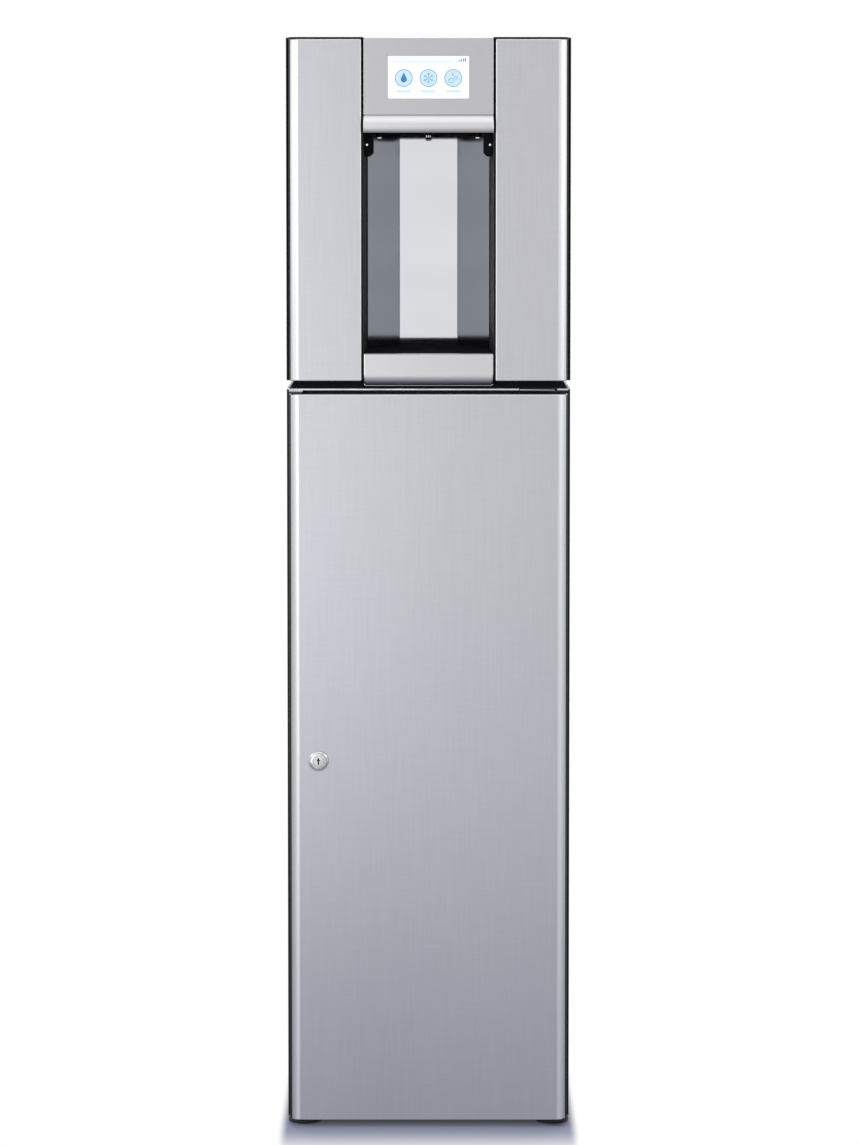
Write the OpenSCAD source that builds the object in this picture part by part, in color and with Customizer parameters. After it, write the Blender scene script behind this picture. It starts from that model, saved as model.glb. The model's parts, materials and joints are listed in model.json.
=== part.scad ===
// Floor-standing water dispenser: a lockable cabinet below, a tap unit with a dispensing niche above.
// The front faces -Y, +X is to the right as seen from the front, and +Z is up.
// The origin is on the ground, under the middle of the whole object.

/* [Casing] */
// Width over the black side walls
unit_w = 336; // [330:1:380]
// Depth from the front faces to the back panels
casing_d = 420; // [410:1:480]
// Height of the cabinet's top above the ground
cabinet_h = 882; // [840:1:960]
// Height of the recessed plinth between the two units
plinth_h = 9; // [8:0.5:16]
// Height of the tap unit
head_h = 404; // [398:1:450]
// Thickness of the painted casing sheets
sheet = 1.5; // [1.2:0.1:2]
// Thickness of the stainless steel front sheets
skin = 1.2; // [1:0.1:1.5]
// Radius of the rounded vertical front edges
edge_r = 11; // [9:0.5:12]
// Width of side wall that shows beside the fronts
side_reveal = 3; // [2:0.5:5]
// Thickness of the two flat top plates
top_t = 2; // [1.5:0.1:3]

/* [Door] */
// Thickness of the door
door_t = 20; // [19:0.5:26]
// Gap between the door's back and the cabinet, filled by the gasket
door_gap = 4; // [4:0.2:6]
// Gap between the door's top and the cabinet's top plate
door_top_gap = 4.5; // [4.2:0.1:8]
// Play under the door
door_play = 0.4; // [0.3:0.1:1]
// Thickness of the door's inner sheet
liner_t = 1.5; // [1:0.1:2]
// Width of the gasket
gasket_w = 10; // [6:0.5:10]
// Distance of the hinge axis from the door's right side
pivot_in = 7; // [6.5:0.1:8]
// Distance of the hinge axis from the door's face
pivot_back = 9; // [8.5:0.1:10]
// Diameter of the hinge pins
hinge_pin_d = 6; // [4:0.2:6.4]
// Length of hinge pin inside the door
hinge_pin_l = 14; // [10:1:25]
// Thickness of the hinge plates
hinge_t = 2.5; // [2:0.1:2.7]
// Width of the top hinge plate
hinge_w = 58; // [45:1:80]

/* [Lock] */
// Distance of the lock's axis from the door's left side
lock_in = 34.5; // [32:0.5:60]
// Height of the lock's axis above the ground
lock_z = 440; // [200:5:700]
// Diameter of the lock's flange
lock_flange_d = 24; // [22:0.5:28]
// Thickness of the lock's flange
lock_flange_t = 3; // [2:0.5:4]
// Distance by which the lock stands out from the door
lock_proud = 5; // [4.5:0.5:8]
// Diameter of the lock's barrel
lock_barrel_d = 19; // [17:0.5:20]
// Diameter of the turning plug
plug_d = 13; // [10:0.5:14]
// Length of the cam from the axis to its tip
cam_l = 31; // [26:0.5:33]
// Width of the cam
cam_w = 14; // [10:0.5:18]
// Thickness of the cam
cam_t = 2.5; // [2:0.1:4]
// Width of the side walls' front flange, which the cam grips
flange_w = 18; // [16:0.5:20]

/* [Feet] */
// Diameter of a foot's pad
foot_d = 40; // [30:1:44]
// Height of a foot's pad
foot_pad_h = 5; // [3:0.5:5]
// Diameter of a foot's stud
foot_stud_d = 8; // [6:0.5:10]
// Height of the cabinet's floor above the ground
ground_gap = 8; // [8:0.5:20]
// Distance of the rear feet's centres from the back
foot_in_back = 32; // [26:1:80]

/* [Gas supply] */
// Diameter of the gas cylinder
cylinder_d = 116; // [90:1:120]
// Height of the gas cylinder without its valve
cylinder_h = 400; // [250:5:420]
// Gap between the cylinder and the left side wall
cylinder_gap = 28.5; // [16:0.5:32]
// Distance between the cylinder and the cabinet's back
cylinder_stand = 10; // [6:1:20]
// Height of the clamp band above the cabinet's floor
clamp_z = 270; // [60:5:300]
// Height of the clamp band
clamp_h = 30; // [15:1:50]
// Thickness of the clamp band
clamp_t = 2; // [1.5:0.1:4]
// Diameter of the cylinder valve's body
valve_d = 24; // [20:1:28]
// Height of the cylinder valve's body
valve_h = 48; // [44:1:60]
// Reach of the cylinder valve's outlet from its axis
valve_reach = 34; // [30:1:40]
// Diameter of the cylinder valve's handwheel
handwheel_d = 44; // [30:1:60]
// Diameter of the pressure regulator
regulator_d = 44; // [40:1:48]
// Length of the pressure regulator's body
regulator_l = 30; // [24:1:44]
// Diameter of the regulator's knob
knob_d = 30; // [20:1:38]
// Length of the regulator's knob
knob_l = 22; // [14:1:35]
// Diameter of the pressure gauge
gauge_d = 40; // [34:1:44]

/* [Water supply] */
// Diameter of the filter cartridge
cartridge_d = 88; // [70:1:92]
// Length of the filter cartridge below its head
cartridge_h = 290; // [200:5:300]
// Distance of the water inlet's axis from the right side wall
inlet_gap = 16.5; // [14.5:0.5:18.5]
// Distance between the cartridge and the cabinet's back
filter_stand = 10; // [6:1:20]
// Width of the filter head
filter_head_w = 80; // [74:1:84]
// Height of the filter head
filter_head_h = 50; // [40:1:60]
// Distance of the filter head's top from the cabinet's top plate
filter_drop = 50; // [35:1:80]
// Diameter of the cartridge's neck
neck_d = 50; // [36:1:60]
// Height of the water inlet above the ground
inlet_z = 110; // [60:5:200]
// Diameter of the inlet's outer thread
inlet_thread_d = 26.4; // [20:0.1:30]
// Distance by which the water inlet stands out from the back
rear_proud = 14; // [10:1:25]
// Length of the shut-off lever
lever_l = 55; // [40:1:70]
// Outer diameter of the hoses
hose_d = 9; // [6:0.5:10]
// Bend radius of the hoses at their middle
hose_bend = 16; // [13:0.5:18]

/* [Tap unit fronts] */
// Depth of the two side fronts
head_front_t = 18; // [16:1:24]
// Width of the middle fascia
fascia_w = 153; // [146:1:160]
// Height of the middle fascia with its rolled lip
fascia_drop = 111; // [100:1:125]
// Thickness of the fascia
fascia_t = 2; // [1.5:0.1:3]
// Radius of the fascia's rolled lip
lip_r = 19; // [12:0.5:24]
// Width of the screen
screen_w = 95.8; // [70:0.2:120]
// Height of the screen
screen_h = 50.2; // [30:0.2:56]
// Distance of the screen's top edge from the fascia's top
screen_drop = 22; // [14:0.5:24]
// Depth of the display unit behind the fascia's face
screen_t = 12; // [8:0.5:20]

/* [Niche] */
// Depth of the niche
niche_d = 250; // [235:1:255]
// Depth of the niche's straight side cheeks
cheek_d = 175; // [150:1:180]
// Distance by which each cheek leans inward over its depth
cheek_taper = 3; // [0:0.5:6]
// Width of the niche's back panel
niche_back_w = 72; // [60:1:100]
// Thickness of the niche's panels
niche_wall_t = 1.5; // [1:0.1:2]
// Thickness of the nozzle carrier above the niche
carrier_t = 14; // [10:1:20]
// Distance of the nozzles behind the front face
nozzle_in = 110; // [95:1:140]
// Diameter of the nozzle holder
holder_d = 15; // [13:0.5:20]
// Outer diameter of a spout
spout_d = 4.6; // [4:0.1:5]
// Length by which the spouts hang below the carrier
spout_l = 8; // [6:0.5:14]
// Distance of the lamps from the middle
lamp_out = 59; // [50:0.5:60]
// Distance of the sensor pods behind the front face
pod_in = 70; // [40:1:120]
// Height of a sensor pod
pod_h = 28; // [15:1:40]

/* [Drip tray] */
// Height of the drip tray's surface above the tap unit's bottom
tray_level = 32; // [28:1:50]
// Thickness of the drip tray's walls
tray_t = 2; // [1.5:0.1:3]
// Play between the drip tray and the niche's panels
tray_play = 0.8; // [0.6:0.1:1.5]
// Thickness of the drip tray's front
tray_front_t = 14; // [12:0.5:15]
// Height of the drip tray's front
tray_front_h = 38; // [34:0.5:56]
// Radius of the lower edge of the drip tray's front
tray_front_r = 13; // [6:0.5:13]
// Thickness of the tray's cover
grille_t = 3; // [2:0.5:5]
// Width of the drain slot in the tray's cover
drain_w = 19; // [10:1:30]
// Length of the drain slot
drain_l = 54; // [30:1:90]
// Distance of the drain slot's middle behind the front face
drain_in = 120; // [90:1:130]

/* [Tap unit inside] */
// Diameter of the chiller tank
tank_d = 120; // [100:1:124]
// Height of the chiller tank
tank_h = 250; // [180:1:255]
// Gap between the tank and the left side wall
tank_gap = 11.5; // [8.5:0.5:14.5]
// Diameter of the compressor
compressor_d = 112; // [90:1:116]
// Height of the compressor
compressor_h = 118; // [90:1:135]
// Gap between the compressor and the right side wall
compressor_gap = 12.5; // [6.5:0.5:16.5]
// Width of the condenser
condenser_w = 116; // [112:1:120]
// Height of the condenser
condenser_h = 124; // [112:1:130]
// Thickness of the condenser
condenser_t = 32; // [20:1:45]
// Height of the condenser above the tap unit's floor
condenser_z = 168; // [150:1:190]
// Diameter of the fan
fan_d = 100; // [70:1:104]
// Depth of the fan's frame
fan_t = 25; // [18:1:32]
// Diameter of the pump
pump_d = 56; // [40:1:60]
// Length of the pump with its motor
pump_l = 130; // [90:1:140]
// Distance of the pump's axis below the top of the tap unit
pump_drop = 58; // [50:1:62]
// Length of the control board from front to back
board_l = 150; // [130:1:180]
// Height of the control board
board_h = 200; // [140:1:280]
// Gap between the control board and the side wall
board_stand = 10; // [5:1:20]
// Height of the power inlet's middle above the tap unit's floor
socket_z = 66; // [40:1:110]

/* [Vents] */
// Height of a vent slot
slot_h = 5; // [3:0.5:7]
// Distance between the middles of neighbouring vent slots
slot_pitch = 12; // [10:0.5:16]
// Number of vent slots in a field
slot_count = 9; // [4:1:10]

/* [Wall tether] */
// Distance between the two tether holes in the cabinet's back
tether_span = 200; // [100:10:280]
// Diameter of a tether hole
tether_d = 6; // [4:0.5:8]
// Distance of the tether holes below the cabinet's top plate
tether_drop = 30; // [20:1:60]

/* [Fits] */
// Play all round a part that turns in a bore
turn_play = 0.1; // [0.05:0.01:0.2]
// Play all round a part that passes through a hole
pass_play = 0.5; // [0.3:0.1:1]
// Gap between parts that slide past each other
slide_gap = 0.3; // [0.2:0.05:0.6]

/* [Hidden] */
$fn = 64;
cut = 1;
paint = "#1b1c1f";
brushed = "#c4c6ca";
satin = "#cdced0";
polished = "#b9bdc2";
black_gloss = "#0d0e10";
zinc = "#a9adb3";
brass = "#c2a25a";
rubber = "#222222";
hose_blue = "#3f6fb5";
white_plastic = "#e8e8e6";

// Widths, measured from the middle
half_w = unit_w / 2;
inner_hw = half_w - sheet;
front_hw = half_w - side_reveal;
throat_hw = half_w - flange_w;
fascia_hw = fascia_w / 2;
mouth_hw = fascia_hw + 2 * slide_gap;
knee_hw = mouth_hw - cheek_taper;
back_hw = niche_back_w / 2;
panel_in = mouth_hw + niche_wall_t + slide_gap;

// Planes from front to back
plate_edge = 1;
y_face = lock_proud - (lock_proud + casing_d + rear_proud) / 2;
y_back = y_face + casing_d;
y_inner = y_back - sheet;
y_door = y_face + door_t;
y_body = y_door + door_gap;
y_head = y_face + head_front_t;
y_nose = y_face + plate_edge;
y_knee = y_face + cheek_d;
y_niche = y_face + niche_d;
y_nozzle = y_face + nozzle_in;

// Levels from the ground up
z_floor = ground_gap;
z_deck = z_floor + sheet;
z_plate = cabinet_h - top_t;
z_door_low = z_floor + door_play;
z_door_high = z_plate - door_top_gap;
z_head = cabinet_h + plinth_h;
z_shelf = z_head + sheet;
z_top = z_head + head_h;
z_cover = z_top - top_t;
z_lip = z_top - fascia_drop;
z_carrier = z_lip + carrier_t;
z_tray = z_head + tray_level;
z_pan = z_shelf + slide_gap;
z_rim = z_tray - grille_t;

// Vents and hose holes
vent_margin = 20;
vent_low = 40;
vent_high = 60;
vent_l = 90;
side_vent_l = 60;
hose_hole_d = hose_d + 6;

// Hinge and lock
pivot_x = front_hw - pivot_in;
pivot_y = y_face + pivot_back;
hinge_x = front_hw - hinge_w;
plate_nose = 3;
plate_nose_w = 9;
plate_bend = 6;
plate_root = 14;
foot_plate_root = 26;
foot_plate_w = 12;
pin_foot = 2;
boss_wall = 1.8;
boss_rib_hw = 3.5;
lip_h = 18;
header_h = 24;
lock_x = -front_hw + lock_in;
cam_y = y_body + sheet + 2 * slide_gap;
lock_nut_w = 22;
lock_nut_t = 3;
tail_d = plug_d - 5;
collar_d = plug_d + 5;
cam_screw_h = 3;
keyway_hw = 1.2;
keyway_hh = 3.8;

// Feet
weld_nut_d = foot_stud_d + 6;
weld_nut_h = 8;
foot_bevel = 1.5;
stud_spare = 12;
foot_x = half_w - foot_d / 2;
foot_front_y = y_body + sheet + weld_nut_d / 2 + pass_play;
foot_rear_y = y_back - foot_in_back;
foot_places = [
    [-foot_x, foot_front_y], [foot_x, foot_front_y],
    [-foot_x, foot_rear_y], [foot_x, foot_rear_y]
];

// Gas supply
gas_x = cylinder_gap + cylinder_d / 2 - inner_hw;
gas_y = y_inner - cylinder_stand - cylinder_d / 2;
bottle_neck_h = 8;
bottle_wall = 6;
neck_ring = 3;
clamp_foot_hw = 25;
handwheel_h = 12;
notch_d = 6;
z_neck = z_deck + cylinder_h + bottle_neck_h;
z_outlet = z_neck + valve_h / 2;
outlet_d = 16;
regulator_x = gas_x + valve_reach + regulator_d / 2;
gauge_stem_l = 6;
gauge_stem_d = 10;
gauge_front = 12;
gauge_back = 8;
gauge_x = regulator_x + regulator_d / 2 + gauge_stem_l + gauge_d / 2;
valve_link_hw = 9;
spindle_d = 8;
spindle_l = 10;
barb_l = 14;
barb_d = 12;
z_barb = z_outlet + regulator_d / 2 + barb_l;

// Water supply
filter_y = y_inner - filter_stand - cartridge_d / 2;
z_filter = z_plate - filter_drop - filter_head_h;
neck_h = 12;
port_l = 6;
port_d = hose_d + 3;
filter_head_hd = 35;
filter_foot_hw = 25;
cartridge_bevel = 10;
port_rise = 30;
z_port = z_filter + port_rise;
inlet_x = inner_hw - inlet_gap;
filter_x = inlet_x - hose_bend - port_l - filter_head_w / 2;
filtered_x = filter_x - filter_head_w / 2 - port_l - hose_bend;
valve_body_d = 20;
valve_rise = 70;
z_valve_top = inlet_z + valve_rise;
lever_rise = 45;
z_lever = inlet_z + lever_rise;
gland_l = 4;
lever_y = filter_y - valve_body_d / 2 - gland_l;
lever_w = 12;
lever_t = 3;
lever_stem_d = 6;
hub_d = 16;
hub_l = 6;
pipe_d = 16;
pipe_bore_d = pipe_d - 4;
inlet_flange_d = pipe_d + 10;
inlet_flange_t = 4;
inlet_wall = 3;
inlet_bore_l = 20;

// Plinth: how far it stands in at its foot and at its head
plinth_in_low = 4;
plinth_in_high = 9;
plinth_back = 6;

// Tap unit inside
tank_x = tank_gap + tank_d / 2 - inner_hw;
tank_stand = 8;
tank_y = y_inner - tank_stand - tank_d / 2;
z_tank = z_shelf + tank_h;
tank_lid_h = 12;
tank_lid_in = 3;
lid_port_d = 14;
lid_port_cap = 2;
gas_port_x = tank_x + tank_d / 4;
gas_port_h = 22;
z_gas_run = z_tank + gas_port_h;
cold_port_in = 21;
cold_port_h = 16;
cold_x = tank_x + tank_d / 2 - cold_port_in;
cold_y = tank_y - tank_d / 4;
z_cold_stub = z_tank + cold_port_h;
manifold_h = 22;
manifold_l = 36;
coil_d = 28;
coil_h = 32;
coil_pitch = 38;
manifold_hw = max(port_d / 2 - cold_x, coil_pitch + coil_d / 2);
z_cold_run = z_carrier + manifold_h / 2;
pump_port_l = 8;
pump_end = filtered_x - hose_bend - pump_port_l;
pump_foot_in = 10;
pump_foot_hw = 16;
pump_foot_h = 4;
pump_shelf_t = 2;
pump_shelf_front = 22;
pump_pipe_d = 10;
pump_shelf_x = min(pump_end - pump_l, tank_x - pump_pipe_d);
z_pump = z_top - pump_drop;
z_pump_shelf = z_pump - pump_d / 2 - pump_foot_h;
compressor_x = inner_hw - compressor_gap - compressor_d / 2;
z_condenser = z_shelf + condenser_z;
z_fan = z_condenser + condenser_h / 2;
fan_y = y_inner - condenser_t;
socket_w = 28;
socket_h = 48;
socket_l = 20;
socket_x = (regulator_x + filtered_x) / 2;
z_socket = z_shelf + socket_z;
socket_recess = 16;
socket_flange = 3;
socket_flange_h = 6;
y_socket = y_back + socket_flange;
socket_play = 0.2;
mouth_w = 17;
mouth_h = 25;
pin_w = 2;
pin_h = 4;
pin_l = 10;
pin_places = [[0, 7], [0, -7], [3.5, 0]];
compressor_stand = 14;
compressor_y = y_inner - compressor_stand - compressor_d / 2;
damper_d = 14;
damper_h = 6;
base_t = 3;
pot_h = compressor_h - damper_h - base_t;
pot_r = compressor_d / 2 - 3;
pot_shoulder = 25;
pot_crown = 5;
pot_crown_r = 20;
frame_edge = 5;
strut_w = 6;
strut_t = 3;
shaft_short = 4;
fan_hub_d = 36;
fan_shaft_d = 4;
rotor_l = fan_t - 6;
blade_count = 7;
blade_pitch = 35;
blade_t = 1.6;
blade_w = 24;
blade_play = 2;
blade_root = 4;
fin_gaps = 10;
fin_gap_h = 4;
fin_edge = 6;
fin_back = 4;
board_t = 1.6;
board_x = inner_hw - board_stand - board_t;
board_in = 20;
board_rise = 12;
board_y = y_head + board_in;
z_board = z_shelf + board_rise;
board_edge = 8;
board_post_d = 6;
transformer_in = 20;
transformer_w = 32;
transformer_l = 45;
transformer_h = 38;
relay_w = 18;
relay_in = 90;
relay_pitch = 27;
plug_w = 9;
plug_l = 13;
plug_in = 16;
plug_pitch = 18;

// Fronts and niche
fascia_flange = 12;
lip_in = 8;
panel_edge_r = 1.5;
screen_rim = 5;
z_screen = z_top - screen_drop - screen_h;
spout_ring = 4;
spout_wall = 0.8;
holder_drop = 2;
lamp_w = 9;
lamp_l = 10;
lamp_h = 6;
pod_l = 25;
pod_w = 9;
cheek_in = 2;

// Gasket and tether holes
gasket_hw = pivot_x - hinge_pin_d / 2 - 2;
gasket_in = 4;
z_tether = z_plate - tether_drop;

// Box between a low and a high value on each axis
module box(x, y, z)
    translate([x[0], y[0], z[0]])
    cube([x[1] - x[0], y[1] - y[0], z[1] - z[0]]);

// Round rods along each axis
module rod_x(x, y, z, d)
    translate([x[0], y, z])
    rotate([0, 90, 0])
    cylinder(h = x[1] - x[0], d = d);

module rod_y(x, y, z, d)
    translate([x, y[0], z])
    rotate([-90, 0, 0])
    cylinder(h = y[1] - y[0], d = d);

module rod_z(x, y, z, d)
    translate([x, y, z[0]])
    cylinder(h = z[1] - z[0], d = d);

// Outline in X and Y, raised between two levels
module raise(z)
    translate([0, 0, z[0]])
    linear_extrude(z[1] - z[0])
    children();

// Outline in Y and Z, drawn out along X
module along_x(x)
    translate([x[0], 0, 0])
    rotate([90, 0, 90])
    linear_extrude(x[1] - x[0])
    children();

// Outline in X and Z, drawn out along Y
module along_y(y)
    translate([0, y[1], 0])
    rotate([90, 0, 0])
    linear_extrude(y[1] - y[0])
    children();

// The right-hand shape as it is, or mirrored to the left
module on_side(side)
    mirror([side == "left" ? 1 : 0, 0, 0])
    children();

// Quarter turn of a hose about a centre, in the plane "xz" or "yz"
module hose_turn(centre, plane, quarter)
    translate(centre)
    rotate([90, 0, plane == "xz" ? 0 : 90])
    rotate([0, 0, 90 * quarter])
    rotate_extrude(angle = 90)
    translate([hose_bend, 0])
    circle(d = hose_d);

// Part of a square corner that lies outside its rounding; the corner is at the origin
module corner_waste(r)
    difference() {
        translate([-cut, -cut])
        square(r + cut);
        translate([r, r])
        circle(r);
    }

// Outline of a folded front from x0 to x1, its face at y = 0, with rounded front corners
module front_outline(x0, x1, depth, r0, r1)
    difference() {
        translate([x0, 0])
        square([x1 - x0, depth]);
        translate([x0, 0])
        corner_waste(r0);
        translate([x1, 0])
        mirror([1, 0])
        corner_waste(r1);
    }

// Sheet steel front, folded back on all four sides and open behind
module folded_front(x0, x1, depth, z, r0, r1)
    translate([0, y_face, 0])
    difference() {
        raise(z)
        front_outline(x0, x1, depth, r0, r1);
        raise([z[0] + skin, z[1] - skin])
        translate([0, skin])
        front_outline(x0 + skin, x1 - skin, depth, r0 - skin, r1 - skin);
    }

// Field of vent slots through a back panel; x and z are the lower left corner
module back_vent(x, z)
    for (i = [0 : slot_count - 1])
        box([x, x + vent_l], [y_inner - cut, y_back + cut],
            [z + i * slot_pitch, z + i * slot_pitch + slot_h]);

// Holes through which the two hoses rise into the tap unit
module hose_holes(z)
    for (p = [[regulator_x, gas_y], [filtered_x, filter_y]])
        rod_z(p[0], p[1], [z[0] - cut, z[1] + cut], hose_hole_d);

module cabinet_side(side)
    color(paint)
    on_side(side) {
        box([inner_hw, half_w], [y_body, y_back], [z_floor, z_plate]);
        box([throat_hw, inner_hw], [y_body, y_body + sheet], [z_floor, z_plate]);
    }

module cabinet_back()
    color(paint)
    difference() {
        box([-inner_hw, inner_hw], [y_inner, y_back], [z_floor, z_plate]);
        rod_y(inlet_x, [y_inner - cut, y_back + cut], inlet_z, pipe_d + 2 * pass_play);
        for (side = [-1, 1])
            rod_y(side * tether_span / 2, [y_inner - cut, y_back + cut], z_tether, tether_d);
        back_vent(-vent_l - vent_margin, z_deck + vent_low);
        back_vent(-vent_l / 2, z_plate - vent_high - slot_count * slot_pitch);
    }

module cabinet_floor()
    color(paint)
    difference() {
        union() {
            box([-inner_hw, inner_hw], [y_body + sheet, y_inner], [z_floor, z_deck]);
            box([-throat_hw, throat_hw], [y_body, y_body + sheet], [z_floor, z_floor + lip_h]);
            for (p = foot_places)
                rod_z(p[0], p[1], [z_floor, z_deck + weld_nut_h], weld_nut_d);
        }
        for (p = foot_places)
            rod_z(p[0], p[1], [z_floor - cut, z_deck + weld_nut_h + cut],
                foot_stud_d + 2 * turn_play);
    }

// The nose over the door stops short of the hinge plate
module cabinet_top()
    color(zinc)
    difference() {
        union() {
            box([-half_w, half_w], [y_body, y_back], [z_plate, cabinet_h]);
            box([-front_hw, front_hw], [y_nose, y_body], [z_plate, cabinet_h]);
        }
        box([hinge_x, pivot_x - hinge_pin_d], [y_nose - cut, y_body],
            [z_plate - cut, cabinet_h + cut]);
        hose_holes([z_plate, cabinet_h]);
    }

module cabinet_header()
    color(paint)
    difference() {
        box([-throat_hw, throat_hw], [y_body, y_body + sheet], [z_plate - header_h, z_plate]);
        box([hinge_x, throat_hw + cut], [y_body - cut, y_body + sheet + cut],
            [z_plate - hinge_t, z_plate + cut]);
    }

module hinge_top()
    color(zinc) {
        raise([z_plate - hinge_t, z_plate])
        polygon([
            [hinge_x, y_body + plate_root], [hinge_x, y_body - plate_bend],
            [pivot_x - plate_nose_w, y_face + plate_nose],
            [front_hw - plate_edge, y_face + plate_nose],
            [front_hw - plate_edge, y_body - slide_gap],
            [throat_hw, y_body - slide_gap], [throat_hw, y_body + plate_root]
        ]);
        rod_z(pivot_x, pivot_y, [z_door_high - hinge_pin_l, z_plate - hinge_t], hinge_pin_d);
    }

// The front foot's stud passes through the plate
module hinge_bottom()
    color(zinc)
    difference() {
        union() {
            raise([z_floor - hinge_t, z_floor])
            polygon([
                [foot_x - foot_plate_w, foot_front_y + foot_plate_root],
                [foot_x - foot_plate_w, y_body - plate_bend],
                [pivot_x - plate_nose_w, y_face + plate_nose],
                [front_hw - plate_edge, y_face + plate_nose],
                [front_hw - plate_edge, foot_front_y + foot_plate_root]
            ]);
            rod_z(pivot_x, pivot_y, [z_floor - hinge_t - pin_foot, z_door_low + hinge_pin_l],
                hinge_pin_d);
        }
        rod_z(foot_x, foot_front_y, [z_floor - hinge_t - cut, z_floor + cut],
            foot_stud_d + 2 * pass_play);
    }

// Pad with a bevelled upper edge, and the stud that screws into the floor
module foot(place)
    color(rubber)
    translate(place) {
        rotate_extrude()
        polygon([
            [0, 0], [foot_d / 2, 0], [foot_d / 2, foot_pad_h - foot_bevel],
            [foot_d / 2 - foot_bevel, foot_pad_h], [0, foot_pad_h]
        ]);
        cylinder(h = z_deck + weld_nut_h + stud_spare, d = foot_stud_d);
    }

module door_skin()
    color(brushed)
    difference() {
        folded_front(-front_hw, front_hw, door_t, [z_door_low, z_door_high], edge_r, edge_r);
        rod_y(lock_x, [y_face - cut, y_door], lock_z, lock_barrel_d + 2 * turn_play);
        rod_z(pivot_x, pivot_y, [z_door_low - cut, z_door_high + cut],
            hinge_pin_d + 2 * pass_play);
    }

// Bearing boss on the door's inner sheet, in which a hinge pin turns
module hinge_boss(z)
    difference() {
        union() {
            rod_z(pivot_x, pivot_y, z, hinge_pin_d + 2 * boss_wall);
            box([pivot_x - boss_rib_hw, pivot_x + boss_rib_hw], [pivot_y, y_door - liner_t], z);
        }
        rod_z(pivot_x, pivot_y, [z[0] - cut, z[1] + cut], hinge_pin_d + 2 * turn_play);
    }

module door_liner()
    color(white_plastic) {
        difference() {
            box([-front_hw + skin, front_hw - skin], [y_door - liner_t, y_door],
                [z_door_low + skin, z_door_high - skin]);
            rod_y(lock_x, [y_door - liner_t - cut, y_door + cut], lock_z,
                lock_barrel_d + 2 * turn_play);
        }
        hinge_boss([z_door_low + skin, z_door_low + hinge_pin_l + pin_foot]);
        hinge_boss([z_door_high - hinge_pin_l - pin_foot, z_door_high - skin]);
    }

module door_gasket()
    color(rubber)
    difference() {
        box([-gasket_hw, gasket_hw], [y_door, y_body - slide_gap],
            [z_door_low + gasket_in, z_door_high - gasket_in]);
        box([-gasket_hw + gasket_w, gasket_hw - gasket_w], [y_door - cut, y_body],
            [z_door_low + gasket_in + gasket_w, z_door_high - gasket_in - gasket_w]);
    }

// Flange, collar and threaded barrel, with the hexagon nut that clamps them to the door
module lock_body()
    color(zinc) {
        difference() {
            union() {
                rod_y(lock_x, [y_face - lock_flange_t, y_face], lock_z, lock_flange_d);
                rod_y(lock_x, [y_face - lock_proud, y_face], lock_z, collar_d);
                rod_y(lock_x, [y_face, cam_y - slide_gap], lock_z, lock_barrel_d);
            }
            rod_y(lock_x, [y_face - lock_proud - cut, cam_y + cut], lock_z,
                plug_d + 2 * turn_play);
        }
        translate([lock_x, y_door + lock_nut_t, lock_z])
        rotate([90, 0, 0])
        difference() {
            rotate(30)
            cylinder(h = lock_nut_t, d = lock_nut_w / cos(30), $fn = 6);
            translate([0, 0, -cut])
            cylinder(h = lock_nut_t + 2 * cut, d = lock_barrel_d + 2 * turn_play);
        }
    }

module lock_plug()
    color(zinc)
    difference() {
        union() {
            rod_y(lock_x, [y_face - lock_proud, cam_y], lock_z, plug_d);
            rod_y(lock_x, [cam_y, cam_y + cam_t], lock_z, tail_d);
        }
        box([lock_x - keyway_hw, lock_x + keyway_hw], [y_face - lock_proud - cut, y_face],
            [lock_z - keyway_hh, lock_z + keyway_hh]);
    }

// Hangs down while unlocked; a quarter turn takes it behind the side wall's flange
module lock_cam()
    color(zinc) {
        difference() {
            box([lock_x - cam_w / 2, lock_x + cam_w / 2], [cam_y, cam_y + cam_t],
                [lock_z - cam_l, lock_z + cam_w / 2]);
            rod_y(lock_x, [cam_y - cut, cam_y + cam_t + cut], lock_z, tail_d);
        }
        rod_y(lock_x, [cam_y + cam_t, cam_y + cam_t + cam_screw_h], lock_z, lock_barrel_d / 2);
    }

// Outline of a bottle with a domed shoulder, standing on y = 0
module bottle_outline(r, h)
    union() {
        square([r, h - r]);
        translate([0, h - r])
        intersection() {
            circle(r);
            square(r);
        }
    }

// Hollow bottle with a short neck
module gas_cylinder()
    color(zinc)
    translate([gas_x, gas_y, z_deck])
    rotate_extrude()
    difference() {
        union() {
            bottle_outline(cylinder_d / 2, cylinder_h);
            translate([0, cylinder_h - bottle_wall])
            square([valve_d / 2 + neck_ring, bottle_neck_h + bottle_wall]);
        }
        translate([0, bottle_wall])
        bottle_outline(cylinder_d / 2 - bottle_wall, cylinder_h - 2 * bottle_wall);
    }

// Band round the bottle on a bracket that is fixed to the cabinet's back
module cylinder_clamp()
    color(zinc)
    difference() {
        union() {
            rod_z(gas_x, gas_y, [z_deck + clamp_z, z_deck + clamp_z + clamp_h],
                cylinder_d + 2 * slide_gap + 2 * clamp_t);
            box([gas_x - clamp_foot_hw, gas_x + clamp_foot_hw], [gas_y, y_inner],
                [z_deck + clamp_z, z_deck + clamp_z + clamp_h]);
        }
        rod_z(gas_x, gas_y, [z_deck + clamp_z - cut, z_deck + clamp_z + clamp_h + cut],
            cylinder_d + 2 * slide_gap);
    }

module cylinder_valve()
    color(brass)
    difference() {
        union() {
            rod_z(gas_x, gas_y, [z_neck, z_neck + valve_h], valve_d);
            rod_x([gas_x, gas_x + valve_reach], gas_y, z_outlet, outlet_d);
        }
        rod_z(gas_x, gas_y, [z_neck + valve_h - spindle_l - cut, z_neck + valve_h + cut],
            spindle_d + 2 * turn_play);
    }

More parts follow.
